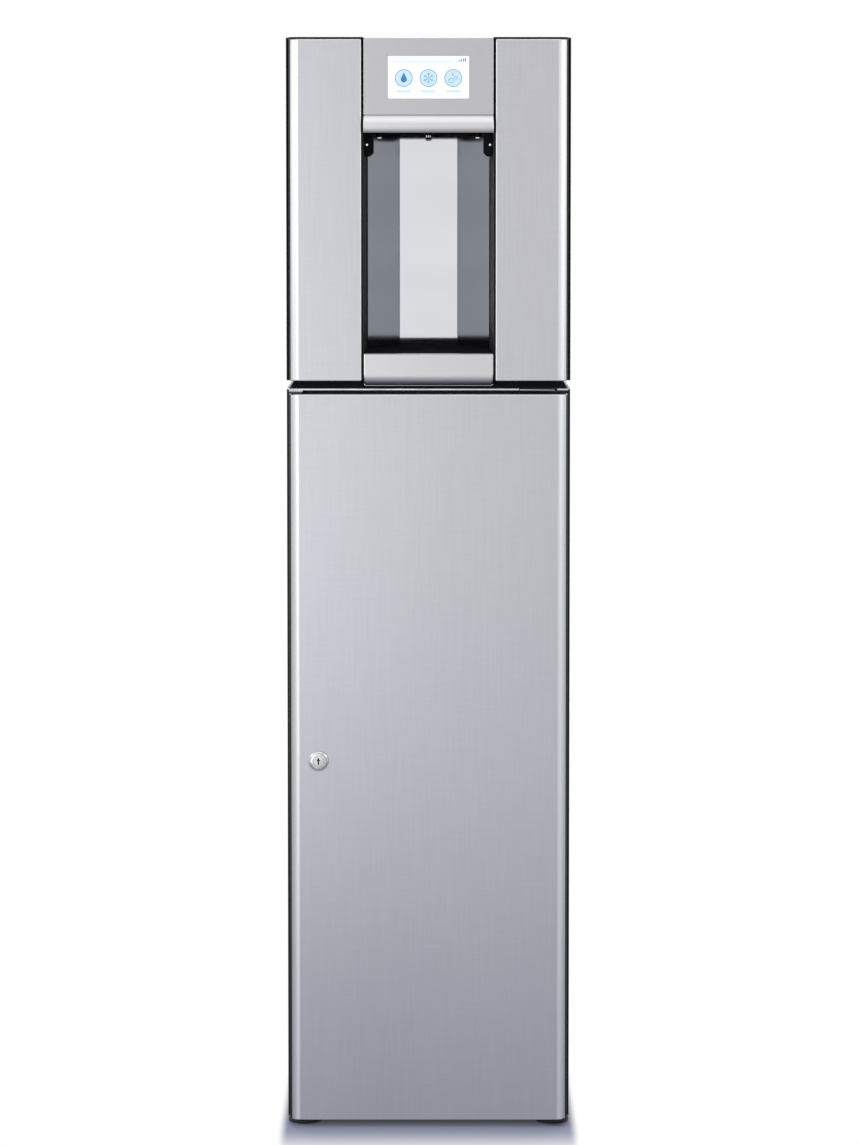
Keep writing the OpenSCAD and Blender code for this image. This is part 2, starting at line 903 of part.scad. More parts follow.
// Round knob whose rim has finger notches
module notched_knob(d, h, notches)
    difference() {
        cylinder(h = h, d = d);
        for (i = [0 : notches - 1])
            rotate(i * 360 / notches)
            translate([d / 2 + notch_d / 6, 0, -cut])
            cylinder(h = h + 2 * cut, d = notch_d);
    }

module valve_handwheel()
    color(paint)
    translate([gas_x, gas_y, z_neck + valve_h]) {
        translate([0, 0, slide_gap])
        notched_knob(handwheel_d, handwheel_h, 8);
        translate([0, 0, cut - spindle_l])
        cylinder(h = spindle_l, d = spindle_d);
    }

// Body, inlet boss, gauge on its side and hose barb on top
module regulator()
    color(brass)
    difference() {
        union() {
            rod_y(regulator_x, [gas_y - regulator_l / 2, gas_y + regulator_l / 2], z_outlet,
                regulator_d);
            box([gas_x + valve_reach, regulator_x],
                [gas_y - valve_link_hw, gas_y + valve_link_hw],
                [z_outlet - valve_link_hw, z_outlet + valve_link_hw]);
            rod_x([regulator_x, gauge_x], gas_y, z_outlet, gauge_stem_d);
            rod_y(gauge_x, [gas_y - gauge_front, gas_y + gauge_back], z_outlet, gauge_d);
            rod_z(regulator_x, gas_y, [z_outlet, z_barb], barb_d);
        }
        rod_y(regulator_x, [gas_y - regulator_l / 2 - cut, gas_y - regulator_l / 2 + spindle_l],
            z_outlet, spindle_d + 2 * turn_play);
    }

module regulator_knob()
    color(paint)
    translate([regulator_x, gas_y - regulator_l / 2, z_outlet])
    rotate([90, 0, 0]) {
        translate([0, 0, slide_gap])
        notched_knob(knob_d, knob_l, 10);
        translate([0, 0, cut - spindle_l])
        cylinder(h = spindle_l, d = spindle_d);
    }

// From the regulator straight up into the tap unit, then across to the chiller tank
module gas_hose()
    color(paint) {
        rod_z(regulator_x, gas_y, [z_barb, z_gas_run - hose_bend], hose_d);
        hose_turn([regulator_x - hose_bend, gas_y, z_gas_run - hose_bend], "xz", 0);
        rod_x([gas_port_x + lid_port_d / 2, regulator_x - hose_bend], gas_y, z_gas_run, hose_d);
    }

// Socket block on a bracket that is fixed to the cabinet's back
module filter_head()
    color(white_plastic)
    difference() {
        union() {
            box([filter_x - filter_head_w / 2, filter_x + filter_head_w / 2],
                [filter_y - filter_head_hd, filter_y + filter_head_hd],
                [z_filter, z_filter + filter_head_h]);
            box([filter_x - filter_foot_hw, filter_x + filter_foot_hw],
                [filter_y + filter_head_hd, y_inner], [z_filter, z_filter + filter_head_h]);
            for (side = [-1, 1])
                rod_x([filter_x + side * (filter_head_w + port_l) / 2 - port_l / 2,
                    filter_x + side * (filter_head_w + port_l) / 2 + port_l / 2],
                    filter_y, z_port, port_d);
        }
        rod_z(filter_x, filter_y, [z_filter - cut, z_filter + neck_h],
            neck_d + 2 * turn_play);
    }

// Cartridge that turns a quarter turn in the filter head to come free
module filter_cartridge()
    color(white_plastic)
    translate([filter_x, filter_y, z_filter - slide_gap - cartridge_h])
    rotate_extrude() {
        polygon([
            [0, 0], [cartridge_d / 2 - cartridge_bevel, 0], [cartridge_d / 2, cartridge_bevel],
            [cartridge_d / 2, cartridge_h], [0, cartridge_h]
        ]);
        square([neck_d / 2, cartridge_h + neck_h]);
    }

// Threaded nipple through the back, elbow, and shut-off valve standing on it
module water_inlet()
    color(brass)
    difference() {
        union() {
            rod_y(inlet_x, [filter_y, y_back + inlet_wall], inlet_z, pipe_d);
            rod_y(inlet_x, [y_inner - inlet_flange_t, y_inner], inlet_z, inlet_flange_d);
            rod_y(inlet_x, [y_back, y_back + rear_proud], inlet_z, inlet_thread_d);
            rod_z(inlet_x, filter_y, [inlet_z - valve_body_d / 2, z_valve_top], valve_body_d);
            rod_y(inlet_x, [lever_y, filter_y], z_lever, 2 * lever_stem_d);
        }
        rod_y(inlet_x, [y_back - inlet_bore_l, y_back + rear_proud + cut], inlet_z,
            pipe_bore_d);
        rod_y(inlet_x, [y_back + inlet_wall, y_back + rear_proud + cut], inlet_z,
            inlet_thread_d - 2 * inlet_wall);
        rod_y(inlet_x, [lever_y - cut, lever_y + spindle_l], z_lever,
            lever_stem_d + 2 * turn_play);
    }

// Points up while open; a quarter turn towards the middle closes it
module shutoff_lever()
    color("#2b6cc4") {
        rod_y(inlet_x, [lever_y - slide_gap - hub_l, lever_y - slide_gap], z_lever, hub_d);
        rod_y(inlet_x, [lever_y - slide_gap, lever_y + spindle_l - cut], z_lever,
            lever_stem_d);
        box([inlet_x - lever_w / 2, inlet_x + lever_w / 2],
            [lever_y - slide_gap - hub_l, lever_y - slide_gap - hub_l + lever_t],
            [z_lever, z_lever + lever_l]);
    }

// Inlet to filter, filter to pump, and chiller tank to nozzles
module water_hoses()
    color(hose_blue) {
        rod_z(inlet_x, filter_y, [z_valve_top, z_port - hose_bend], hose_d);
        hose_turn([inlet_x - hose_bend, filter_y, z_port - hose_bend], "xz", 0);
        hose_turn([filtered_x + hose_bend, filter_y, z_port + hose_bend], "xz", 2);
        rod_z(filtered_x, filter_y, [z_port + hose_bend, z_pump - hose_bend], hose_d);
        hose_turn([filtered_x - hose_bend, filter_y, z_pump - hose_bend], "xz", 0);
        rod_z(cold_x, cold_y, [z_cold_stub, z_cold_run - hose_bend], hose_d);
        hose_turn([cold_x, cold_y - hose_bend, z_cold_run - hose_bend], "yz", 0);
        rod_y(cold_x, [y_nozzle + manifold_l / 2 + port_l, cold_y - hose_bend], z_cold_run,
            hose_d);
    }

// Black slab between the units, narrower at its top, set back behind the fronts
module plinth()
    color(paint)
    difference() {
        intersection() {
            along_y([y_face, y_back])
            polygon([
                [-half_w + plinth_in_low, cabinet_h], [half_w - plinth_in_low, cabinet_h],
                [half_w - plinth_in_high, z_head], [-half_w + plinth_in_high, z_head]
            ]);
            along_x([-half_w, half_w])
            polygon([
                [y_face + tray_front_t + slide_gap, cabinet_h], [y_back - plinth_back, cabinet_h],
                [y_back - plinth_back, z_head],
                [y_face + tray_front_t + plinth_in_high - plinth_in_low, z_head]
            ]);
        }
        hose_holes([cabinet_h, z_head]);
    }

module head_floor()
    color(paint)
    difference() {
        box([-inner_hw, inner_hw], [y_head, y_inner], [z_head, z_shelf]);
        hose_holes([z_head, z_shelf]);
    }

module head_side(side)
    color(paint)
    on_side(side)
    difference() {
        box([inner_hw, half_w], [y_head, y_back], [z_head, z_cover]);
        for (i = [0 : slot_count - 1])
            box([inner_hw - cut, half_w + cut],
                [y_inner - vent_margin - side_vent_l, y_inner - vent_margin],
                [z_condenser + i * slot_pitch, z_condenser + i * slot_pitch + slot_h]);
    }

module head_back()
    color(paint)
    difference() {
        box([-inner_hw, inner_hw], [y_inner, y_back], [z_head, z_cover]);
        back_vent(compressor_x - vent_l / 2, z_condenser + fin_edge);
        box([socket_x - socket_w / 2, socket_x + socket_w / 2], [y_inner - cut, y_back + cut],
            [z_socket - socket_h / 2, z_socket + socket_h / 2]);
    }

// Follows the rounded fronts and leaves a notch for the fascia's top flange
module top_cover()
    color(paint)
    raise([z_cover, z_top])
    difference() {
        union() {
            translate([0, y_face])
            front_outline(-front_hw, front_hw, head_front_t, edge_r, edge_r);
            translate([-half_w, y_head])
            square([unit_w, y_back - y_head]);
        }
        translate([-fascia_hw - slide_gap, y_face - cut])
        square([fascia_w + 2 * slide_gap, fascia_flange + slide_gap + cut]);
    }

module front_panel(side)
    color(brushed)
    on_side(side)
    folded_front(panel_in, front_hw, head_front_t, [z_head, z_cover], panel_edge_r, edge_r);

// Flat sheet with a flange on top and a lip that rolls under above the niche
module fascia()
    color(satin)
    difference() {
        along_x([-fascia_hw, fascia_hw]) {
            translate([y_face, z_lip + lip_r])
            square([fascia_t, fascia_drop - lip_r]);
            translate([y_face, z_top - fascia_t])
            square([fascia_flange, fascia_t]);
            translate([y_face + lip_r, z_lip + lip_r])
            intersection() {
                difference() {
                    circle(lip_r);
                    circle(lip_r - fascia_t);
                }
                translate([-lip_r - cut, -lip_r - cut])
                square(lip_r + cut);
            }
            translate([y_face + lip_r, z_lip])
            square([lip_in, fascia_t]);
        }
        box([-screen_w / 2 - slide_gap, screen_w / 2 + slide_gap], [y_face - cut, y_head],
            [z_screen - slide_gap, z_screen + screen_h + slide_gap]);
    }

// Glass that fills the fascia's window, on the flat housing behind it
module display_unit()
    color(black_gloss) {
        box([-screen_w / 2, screen_w / 2], [y_face, y_face + fascia_t],
            [z_screen, z_screen + screen_h]);
        box([-screen_w / 2 - screen_rim, screen_w / 2 + screen_rim],
            [y_face + fascia_t, y_face + screen_t],
            [z_screen - screen_rim, z_screen + screen_h + screen_rim]);
    }

// Half width between the cheeks at a distance behind the front face
function mouth_at(d) = mouth_hw - cheek_taper * d / cheek_d;

// Outline of the niche from a distance behind the front face, drawn in by a play
module niche_outline(front, play) {
    right = [
        [mouth_at(front) - play, y_face + front],
        [knee_hw - play, y_knee],
        [back_hw - play, y_niche - play]
    ];
    polygon(concat(right, [for (i = [2 : -1 : 0]) [-right[i][0], right[i][1]]]));
}

module nozzle_carrier()
    color(black_gloss)
    difference() {
        raise([z_lip, z_carrier])
        niche_outline(lip_r + lip_in + slide_gap, slide_gap);
        rod_z(0, y_nozzle, [z_lip - cut, z_carrier + cut], holder_d + 2 * turn_play);
    }

// Holder with three spouts in a triangle, bored through
module nozzles()
    color(zinc)
    difference() {
        union() {
            rod_z(0, y_nozzle, [z_lip - holder_drop, z_carrier], holder_d);
            for (i = [0 : 2])
                rod_z(spout_ring * sin(120 * i + 180), y_nozzle + spout_ring * cos(120 * i + 180),
                    [z_lip - spout_l, z_lip], spout_d);
        }
        for (i = [0 : 2])
            rod_z(spout_ring * sin(120 * i + 180), y_nozzle + spout_ring * cos(120 * i + 180),
                [z_lip - spout_l - cut, z_carrier + cut], spout_d - 2 * spout_wall);
    }

// Block with three solenoid coils, standing on the carrier over the nozzles
module valve_manifold()
    color(white_plastic) {
        box([-manifold_hw, manifold_hw], [y_nozzle - manifold_l / 2, y_nozzle + manifold_l / 2],
            [z_carrier, z_carrier + manifold_h]);
        for (i = [-1 : 1])
            rod_z(i * coil_pitch, y_nozzle,
                [z_carrier + manifold_h, z_carrier + manifold_h + coil_h], coil_d);
        rod_y(cold_x, [y_nozzle + manifold_l / 2, y_nozzle + manifold_l / 2 + port_l],
            z_cold_run, port_d);
    }

// Two lamps beside the nozzles and two sensor pods against the cheeks, hung from the carrier
module lamps_and_sensors()
    color(black_gloss)
    for (side = ["left", "right"])
        on_side(side) {
            box([lamp_out - lamp_w / 2, lamp_out + lamp_w / 2],
                [y_nozzle - lamp_l / 2, y_nozzle + lamp_l / 2], [z_lip - lamp_h, z_lip]);
            raise([z_lip - pod_h, z_lip])
            polygon([
                [mouth_at(pod_in) - pod_w, y_face + pod_in],
                [mouth_at(pod_in) - slide_gap, y_face + pod_in],
                [mouth_at(pod_in + pod_l) - slide_gap, y_face + pod_in + pod_l],
                [mouth_at(pod_in + pod_l) - pod_w, y_face + pod_in + pod_l]
            ]);
        }

module niche_cheek(side)
    color(black_gloss)
    on_side(side)
    raise([z_shelf, z_carrier])
    polygon([
        [mouth_at(cheek_in), y_face + cheek_in], [knee_hw, y_knee],
        [knee_hw + niche_wall_t, y_knee],
        [mouth_at(cheek_in) + niche_wall_t, y_face + cheek_in]
    ]);

// Angled polished panel between a cheek and the back panel
module niche_wing(side) {
    run_x = knee_hw - back_hw;
    run_y = niche_d - cheek_d;
    length = norm([run_x, run_y]);
    off_x = niche_wall_t * run_y / length;
    off_y = niche_wall_t * run_x / length;
    color(polished)
    on_side(side)
    raise([z_shelf, z_carrier])
    polygon([
        [knee_hw, y_knee], [back_hw, y_niche],
        [back_hw + off_x, y_niche + off_y], [knee_hw + off_x, y_knee + off_y]
    ]);
}

module niche_back()
    color(polished)
    box([-back_hw, back_hw], [y_niche, y_niche + niche_wall_t], [z_shelf, z_carrier]);

module drip_tray()
    color(paint)
    difference() {
        raise([z_pan, z_rim])
        niche_outline(tray_front_t, tray_play);
        raise([z_pan + tray_t, z_rim + cut])
        niche_outline(tray_front_t + tray_t, tray_play + tray_t);
    }

// Front of the tray, rounded under, hanging a little below the side fronts
module tray_front()
    color(satin)
    along_x([-fascia_hw + slide_gap, fascia_hw - slide_gap])
    difference() {
        translate([y_face, z_tray - tray_front_h])
        square([tray_front_t, tray_front_h]);
        translate([y_face, z_tray - tray_front_h])
        corner_waste(tray_front_r);
    }

module drip_grille()
    color(black_gloss)
    difference() {
        raise([z_rim, z_tray])
        niche_outline(tray_front_t + slide_gap, tray_play);
        box([-drain_w / 2, drain_w / 2],
            [y_face + drain_in - drain_l / 2, y_face + drain_in + drain_l / 2],
            [z_rim - cut, z_tray + cut]);
    }

// Insulated tank with a lid, a gas port and a cold water port
module chiller_tank()
    color(white_plastic) {
        rod_z(tank_x, tank_y, [z_shelf, z_tank - tank_lid_h], tank_d);
        rod_z(tank_x, tank_y, [z_tank - tank_lid_h, z_tank], tank_d - 2 * tank_lid_in);
        rod_z(gas_port_x, gas_y, [z_tank, z_gas_run + lid_port_d / 2 + lid_port_cap], lid_port_d);
        rod_z(cold_x, cold_y, [z_tank, z_cold_stub], port_d);
    }

// Sealed pot with a stepped dome, standing on a base plate with four rubber feet
module compressor()
    color(paint)
    translate([compressor_x, compressor_y, z_shelf]) {
        for (x = [-1, 1], y = [-1, 1])
            translate([x, y] * (compressor_d - damper_d) / 2)
            cylinder(h = damper_h, d = damper_d);
        box([-compressor_d / 2, compressor_d / 2], [-compressor_d / 2, compressor_d / 2],
            [damper_h, damper_h + base_t]);
        translate([0, 0, damper_h + base_t])
        rotate_extrude()
        polygon([
            [0, 0], [pot_r - pot_crown, 0], [pot_r, 2 * pot_crown], [pot_r, pot_h - pot_shoulder],
            [pot_r - 2 * pot_crown, pot_h - pot_crown], [pot_crown_r, pot_h], [0, pot_h]
        ]);
    }

// Finned block against the back cover
module condenser()
    color(zinc)
    difference() {
        box([compressor_x - condenser_w / 2, compressor_x + condenser_w / 2],
            [fan_y, y_inner], [z_condenser, z_condenser + condenser_h]);
        for (i = [1 : fin_gaps])
            translate([compressor_x, 0, z_condenser + i * condenser_h / (fin_gaps + 1)])
            box([fin_edge - condenser_w / 2, condenser_w / 2 - fin_edge],
                [fan_y + fin_back, y_inner + cut], [-fin_gap_h / 2, fin_gap_h / 2]);
    }

// Square frame with a round mouth, three struts and the shaft of the rotor
module fan_frame()
    color(paint) {
        difference() {
            box([compressor_x - fan_d / 2 - frame_edge, compressor_x + fan_d / 2 + frame_edge],
                [fan_y - fan_t, fan_y],
                [z_fan - fan_d / 2 - frame_edge, z_fan + fan_d / 2 + frame_edge]);
            rod_y(compressor_x, [fan_y - fan_t - cut, fan_y + cut], z_fan, fan_d);
        }
        translate([compressor_x, fan_y, z_fan])
        rotate([90, 0, 0])
        for (i = [0 : 2])
            rotate(120 * i + 90)
            box([0, (fan_d + frame_edge) / 2], [-strut_w / 2, strut_w / 2], [0, strut_t]);
        rod_y(compressor_x, [fan_y - strut_t, fan_y], z_fan, fan_hub_d);
        rod_y(compressor_x, [fan_y - fan_t + shaft_short, fan_y], z_fan, fan_shaft_d);
    }

module fan_rotor()
    color(paint)
    translate([compressor_x, fan_y - strut_t - slide_gap, z_fan])
    rotate([90, 0, 0])
    difference() {
        union() {
            cylinder(h = rotor_l, d = fan_hub_d);
            intersection() {
                cylinder(h = rotor_l, d = fan_d - 2 * blade_play);
                for (i = [0 : blade_count - 1])
                    rotate(i * 360 / blade_count)
                    translate([0, 0, rotor_l / 2])
                    rotate([blade_pitch, 0, 0])
                    box([fan_hub_d / 2 - blade_root, fan_d / 2], [-blade_w / 2, blade_w / 2],
                        [-blade_t / 2, blade_t / 2]);
            }
        }
        translate([0, 0, -cut])
        cylinder(h = rotor_l + 2 * cut, d = fan_shaft_d + 2 * turn_play);
    }

// Pump and motor in line on a shelf bracket, with a pipe down to the tank
module pump()
    color(zinc) {
        rod_x([pump_end - pump_l, pump_end], filter_y, z_pump, pump_d);
        rod_x([pump_end, pump_end + pump_port_l], filter_y, z_pump, port_d);
        box([pump_end - pump_l + pump_foot_in, pump_end - pump_foot_in],
            [filter_y - pump_foot_hw, filter_y + pump_foot_hw], [z_pump_shelf, z_pump - pump_d / 4]);
        box([pump_shelf_x, pump_end], [filter_y - pump_shelf_front, y_inner],
            [z_pump_shelf - pump_shelf_t, z_pump_shelf]);
        box([pump_shelf_x, pump_end], [y_inner - pump_shelf_t, y_inner],
            [z_pump_shelf, z_pump]);
        rod_z(tank_x, filter_y, [z_tank, z_pump_shelf - pump_shelf_t], pump_pipe_d);
    }

// Board on four posts off the side wall, with a transformer, three relays and a row of plugs
module control_board()
    color("#2f6b45") {
        box([board_x, board_x + board_t], [board_y, board_y + board_l],
            [z_board, z_board + board_h]);
        for (y = [board_edge, board_l - board_edge], z = [board_edge, board_h - board_edge])
            rod_x([board_x + board_t, inner_hw], board_y + y, z_board + z, board_post_d);
        translate([board_x, board_y + transformer_in, z_board + transformer_in])
        box([-transformer_w, 0], [0, transformer_l], [0, transformer_h]);
        for (i = [0 : 2])
            translate([board_x, board_y + relay_in, z_board + transformer_in + i * relay_pitch])
            box([-relay_w, 0], [0, relay_w], [0, relay_w]);
        for (i = [0 : 5])
            translate([board_x, board_y + plug_in + i * plug_pitch, z_board + board_h - plug_in])
            box([-plug_w, 0], [0, plug_l], [-plug_w, 0]);
    }

// Appliance inlet with three flat pins in its recess
module power_inlet()
    color(black_gloss) {
        difference() {
            union() {
                box([socket_x - socket_w / 2 + socket_play, socket_x + socket_w / 2 - socket_play],
                    [y_inner - socket_l, y_socket],
                    [z_socket - socket_h / 2 + socket_play, z_socket + socket_h / 2 - socket_play]);
                box([socket_x - socket_w / 2 - socket_flange, socket_x + socket_w / 2 + socket_flange],
                    [y_back, y_socket],
                    [z_socket - socket_h / 2 - socket_flange_h, z_socket + socket_h / 2 + socket_flange_h]);
            }
            box([socket_x - mouth_w / 2, socket_x + mouth_w / 2],
                [y_socket - socket_recess, y_socket + cut],
                [z_socket - mouth_h / 2, z_socket + mouth_h / 2]);
        }
        for (p = pin_places)
            translate([socket_x + p[0], y_socket - socket_recess, z_socket + p[1]])
            box([-pin_w / 2, pin_w / 2], [0, pin_l], [-pin_h / 2, pin_h / 2]);
    }

cabinet_side("left");  // cabinet_side_left
cabinet_side("right");  // cabinet_side_right
cabinet_back();
cabinet_floor();
cabinet_top();
cabinet_header();
hinge_top();
hinge_bottom();
foot(foot_places[0]);  // foot_front_left
foot(foot_places[1]);  // foot_front_right
foot(foot_places[2]);  // foot_rear_left
foot(foot_places[3]);  // foot_rear_right
door_skin();
door_liner();
door_gasket();
lock_body();
lock_plug();
lock_cam();
gas_cylinder();
cylinder_clamp();
cylinder_valve();
valve_handwheel();
regulator();
regulator_knob();
gas_hose();
filter_head();
filter_cartridge();
water_inlet();
shutoff_lever();
water_hoses();
plinth();
head_floor();
head_side("left");  // head_side_left
head_side("right");  // head_side_right
head_back();
top_cover();
front_panel("left");  // front_panel_left
front_panel("right");  // front_panel_right
fascia();
display_unit();
nozzle_carrier();
nozzles();
valve_manifold();
lamps_and_sensors();
niche_cheek("left");  // niche_cheek_left
niche_cheek("right");  // niche_cheek_right
niche_wing("left");  // niche_wing_left
niche_wing("right");  // niche_wing_right
niche_back();
drip_tray();
tray_front();
drip_grille();
chiller_tank();
compressor();
condenser();
fan_frame();
fan_rotor();
pump();
control_board();
power_inlet();
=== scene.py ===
import json
import math

import bmesh
import bpy
from mathutils import Matrix, Vector

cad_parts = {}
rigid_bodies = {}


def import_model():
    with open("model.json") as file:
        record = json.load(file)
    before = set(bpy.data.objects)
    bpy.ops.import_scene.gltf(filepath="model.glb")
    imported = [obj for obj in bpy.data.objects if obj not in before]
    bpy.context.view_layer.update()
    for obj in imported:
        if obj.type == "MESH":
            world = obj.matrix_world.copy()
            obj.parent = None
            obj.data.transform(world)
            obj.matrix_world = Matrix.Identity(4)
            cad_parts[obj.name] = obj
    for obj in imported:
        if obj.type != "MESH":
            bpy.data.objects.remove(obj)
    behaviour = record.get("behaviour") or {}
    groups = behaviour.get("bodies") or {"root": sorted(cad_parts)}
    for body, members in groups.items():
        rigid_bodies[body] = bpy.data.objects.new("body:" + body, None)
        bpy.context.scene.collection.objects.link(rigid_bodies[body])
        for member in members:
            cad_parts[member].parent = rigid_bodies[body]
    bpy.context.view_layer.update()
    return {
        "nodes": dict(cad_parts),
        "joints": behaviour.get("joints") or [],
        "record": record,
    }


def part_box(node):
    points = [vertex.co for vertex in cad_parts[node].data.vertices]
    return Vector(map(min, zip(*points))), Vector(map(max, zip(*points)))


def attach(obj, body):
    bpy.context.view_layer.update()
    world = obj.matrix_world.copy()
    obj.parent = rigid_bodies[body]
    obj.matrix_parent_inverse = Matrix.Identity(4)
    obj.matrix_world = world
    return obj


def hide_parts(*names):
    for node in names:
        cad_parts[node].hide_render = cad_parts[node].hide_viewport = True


# Looks of a floor-standing water dispenser around its CAD frame: metres, +Z up, the front faces -Y.
for startup in list(bpy.data.objects):
    bpy.data.objects.remove(startup, do_unlink=True)
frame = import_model()
nodes = frame["nodes"]
COLOUR = {m["slot"]: tuple(m["base_color"]) for m in frame["record"]["materials"]}
SLOT_OF = {s["node"]: s["material_slot"] for s in frame["record"]["subparts"]}
BODY_OF = {n: b for b, members in frame["record"]["behaviour"]["bodies"].items() for n in members}

# Driving sizes, and places from which the rest is set out
MM = 0.001
SKIN = 0.0012
CORNER_R = 0.0122
BEND_R = 0.0016
TINY = 1e-6
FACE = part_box("door_skin")[0].y
SIDE_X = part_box("door_skin")[1].x
SCREEN_LOW, SCREEN_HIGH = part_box("display_unit")


# Shader building

NOISE_MIDDLE = (0.35, 0.65)


def set_input(owner, socket, value):
    """Gives a socket of a material's or a world's node a value, or the socket that feeds it."""
    if isinstance(value, bpy.types.NodeSocket):
        owner.node_tree.links.new(value, socket)
    else:
        socket.default_value = value


def add(owner, kind, **inputs):
    """New shader node with some of its inputs."""
    made = owner.node_tree.nodes.new("ShaderNode" + kind)
    for name, value in inputs.items():
        set_input(owner, made.inputs[name.replace("_", " ")], value)
    return made


def combine(owner, how, *values, kind="Math"):
    """What a node makes of the values in its inputs."""
    made = add(owner, kind)
    made.operation = how
    for socket, value in zip(made.inputs, values):
        set_input(owner, socket, value)
    return made.outputs[0]


def shader_of(mat):
    return mat.node_tree.nodes["Principled BSDF"]


def feed(mat, name, socket):
    mat.node_tree.links.new(socket, shader_of(mat).inputs[name])


def plain(name, colour, roughness, **sockets):
    """Principled material whose constants stand on the shader's own sockets."""
    mat = bpy.data.materials.new(name)
    mat.use_nodes = True
    shader = shader_of(mat)
    shader.inputs["Base Color"].default_value = (*colour, 1)
    shader.inputs["Roughness"].default_value = roughness
    for socket, value in sockets.items():
        shader.inputs[socket.replace("_", " ")].default_value = value
    return mat


def grain(mat, per_metre, detail=2.0):
    """Noise in object space, with a number of features a metre along X, Y and Z."""
    place = add(mat, "TexCoord").outputs["Object"]
    scaled = add(mat, "Mapping", Vector=place, Scale=per_metre).outputs["Vector"]
    return add(mat, "TexNoise", Vector=scaled, Scale=1.0, Detail=detail).outputs["Fac"]


def vary_colour(mat, factor, colour, low, high, span=NOISE_MIDDLE):
    """Base colour between low and high times the colour, as the factor crosses the span."""
    ramp = add(mat, "ValToRGB", Fac=factor)
    for stop, share, place in zip(ramp.color_ramp.elements, (low, high), span):
        stop.color = (*(min(1, c * share) for c in colour), 1)
        stop.position = place
    feed(mat, "Base Color", ramp.outputs["Color"])


def vary_roughness(mat, factor, low, high):
    """Roughness between low and high, as the factor crosses the noise's middle."""
    start, end = NOISE_MIDDLE
    ranged = add(mat, "MapRange", Value=factor, From_Min=start, From_Max=end, To_Min=low, To_Max=high)
    feed(mat, "Roughness", ranged.outputs[0])


def relief(mat, height, depth):
    feed(mat, "Normal", add(mat, "Bump", Height=height, Distance=depth).outputs["Normal"])


def cloud(mat, slot, per_metre, detail, low, high, span=NOISE_MIDDLE):
    """Lets the slot's colour vary in soft patches."""
    vary_colour(mat, grain(mat, (per_metre,) * 3, detail), COLOUR[slot], low, high, span)


def texture(mat, per_metre, detail, low, high, depth=0.0):
    """Fine grain in the roughness, between low and high, and as a relief where it has a depth."""
    fine = grain(mat, (per_metre,) * 3, detail)
    vary_roughness(mat, fine, low, high)
    if depth:
        relief(mat, fine, depth)


# Finishes, one function each; a tint is the share of the record's colour that the finish reflects

STEEL_TINT = (0.77, 0.755, 0.8)
THREADS_PER_METRE = 640


def tinted(slot, tint):
    return tuple(c * t for c, t in zip(COLOUR[slot], tint))


def linen_steel(slot):
    """Stainless sheet embossed with crossed threads a little over a millimetre apart."""
    colour = tinted(slot, STEEL_TINT)
    mat = plain(slot, colour, 0.36, Metallic=1)
    weft = combine(mat, "MULTIPLY", grain(mat, (40, 40, THREADS_PER_METRE), 1), 0.4)
    warp = combine(mat, "MULTIPLY", grain(mat, (THREADS_PER_METRE, THREADS_PER_METRE, 14), 1), 0.6)
    cloth = combine(mat, "ADD", weft, warp)
    vary_colour(mat, cloth, colour, 0.98, 1.02, (0.4, 0.6))
    vary_roughness(mat, grain(mat, (5, 5, 2)), 0.345, 0.375)
    relief(mat, cloth, 0.000015)
    return mat


def bend_steel_painted_shading(slot, share, least, span, crest=0.0):
    """The sheet's bends, where the threads are drawn flat, in painted highlight and painted shade:
    brightest where the normal's X is crest, darker as it turns further.
    """
    mat = plain(slot + "_bend", COLOUR[slot], 0.4, Metallic=1)
    turned = add(mat, "TexCoord").outputs["Normal"]
    sideways = add(mat, "SeparateXYZ", Vector=turned).outputs["X"]
    beyond = combine(mat, "SUBTRACT", combine(mat, "ABSOLUTE", sideways), crest)
    vary_colour(mat, combine(mat, "ABSOLUTE", beyond), COLOUR[slot], share, least, span)
    vary_roughness(mat, grain(mat, (900, 900, 12), 2), 0.37, 0.43)
    return mat


def satin_metal(slot, tint=(0.64, 0.64, 0.66)):
    """Sheet with fine brushing along its length."""
    colour = tinted(slot, tint)
    mat = plain(slot, colour, 0.3, Metallic=1)
    brushing = grain(mat, (90, 90, 2600))
    vary_colour(mat, brushing, colour, 0.99, 1.01)
    vary_roughness(mat, brushing, 0.28, 0.33)
    relief(mat, brushing, 0.000004)
    return mat


def satin_with_painted_shade_under(slot, tint, darkest, span):
    """Satin sheet whose colour is painted darker as it turns away under itself, a painted shade, over a
    span of 1 + normal Z.
    """
    mat = satin_metal(slot, tint)
    normal = add(mat, "NewGeometry").outputs["Normal"]
    height = add(mat, "SeparateXYZ", Vector=normal).outputs["Z"]
    vary_colour(mat, combine(mat, "ADD", height, 1.0), tinted(slot, tint), darkest, 1.0, span)
    return mat


def polished_metal(slot, tint=(1, 1, 1), roughness=0.045):
    """Mirror sheet with faint wipe marks."""
    colour = tinted(slot, tint)
    mat = plain(slot, colour, roughness, Metallic=1)
    wipes = grain(mat, (5, 5, 16), 4)
    vary_colour(mat, wipes, colour, 0.98, 1.02)
    vary_roughness(mat, wipes, roughness - 0.015, roughness + 0.015)
    return mat


def plated_metal(slot, roughness=0.34, per_metre=55):
    """Zinc or nickel plating, a little cloudy."""
    mat = plain(slot, COLOUR[slot], roughness, Metallic=1)
    patches = grain(mat, (per_metre,) * 3, 5)
    vary_colour(mat, patches, COLOUR[slot], 0.88, 1.08)
    vary_roughness(mat, patches, roughness - 0.06, roughness + 0.08)
    relief(mat, grain(mat, (1600,) * 3), 0.000012)
    return mat


def nickel(slot):
    return plated_metal(slot, 0.2, 90)


def spout_metal(slot):
    return plated_metal(slot, 0.14, 150)


def pump_finish(slot):
    return plated_metal(slot, 0.3, 40)


def machined_brass(slot):
    """Turned brass with fine tool rings and a slight tarnish."""
    mat = plain(slot, COLOUR[slot], 0.26, Metallic=1)
    cloud(mat, slot, 30, 4, 0.8, 1.08)
    texture(mat, 900, 1, 0.2, 0.34, 0.00001)
    return mat


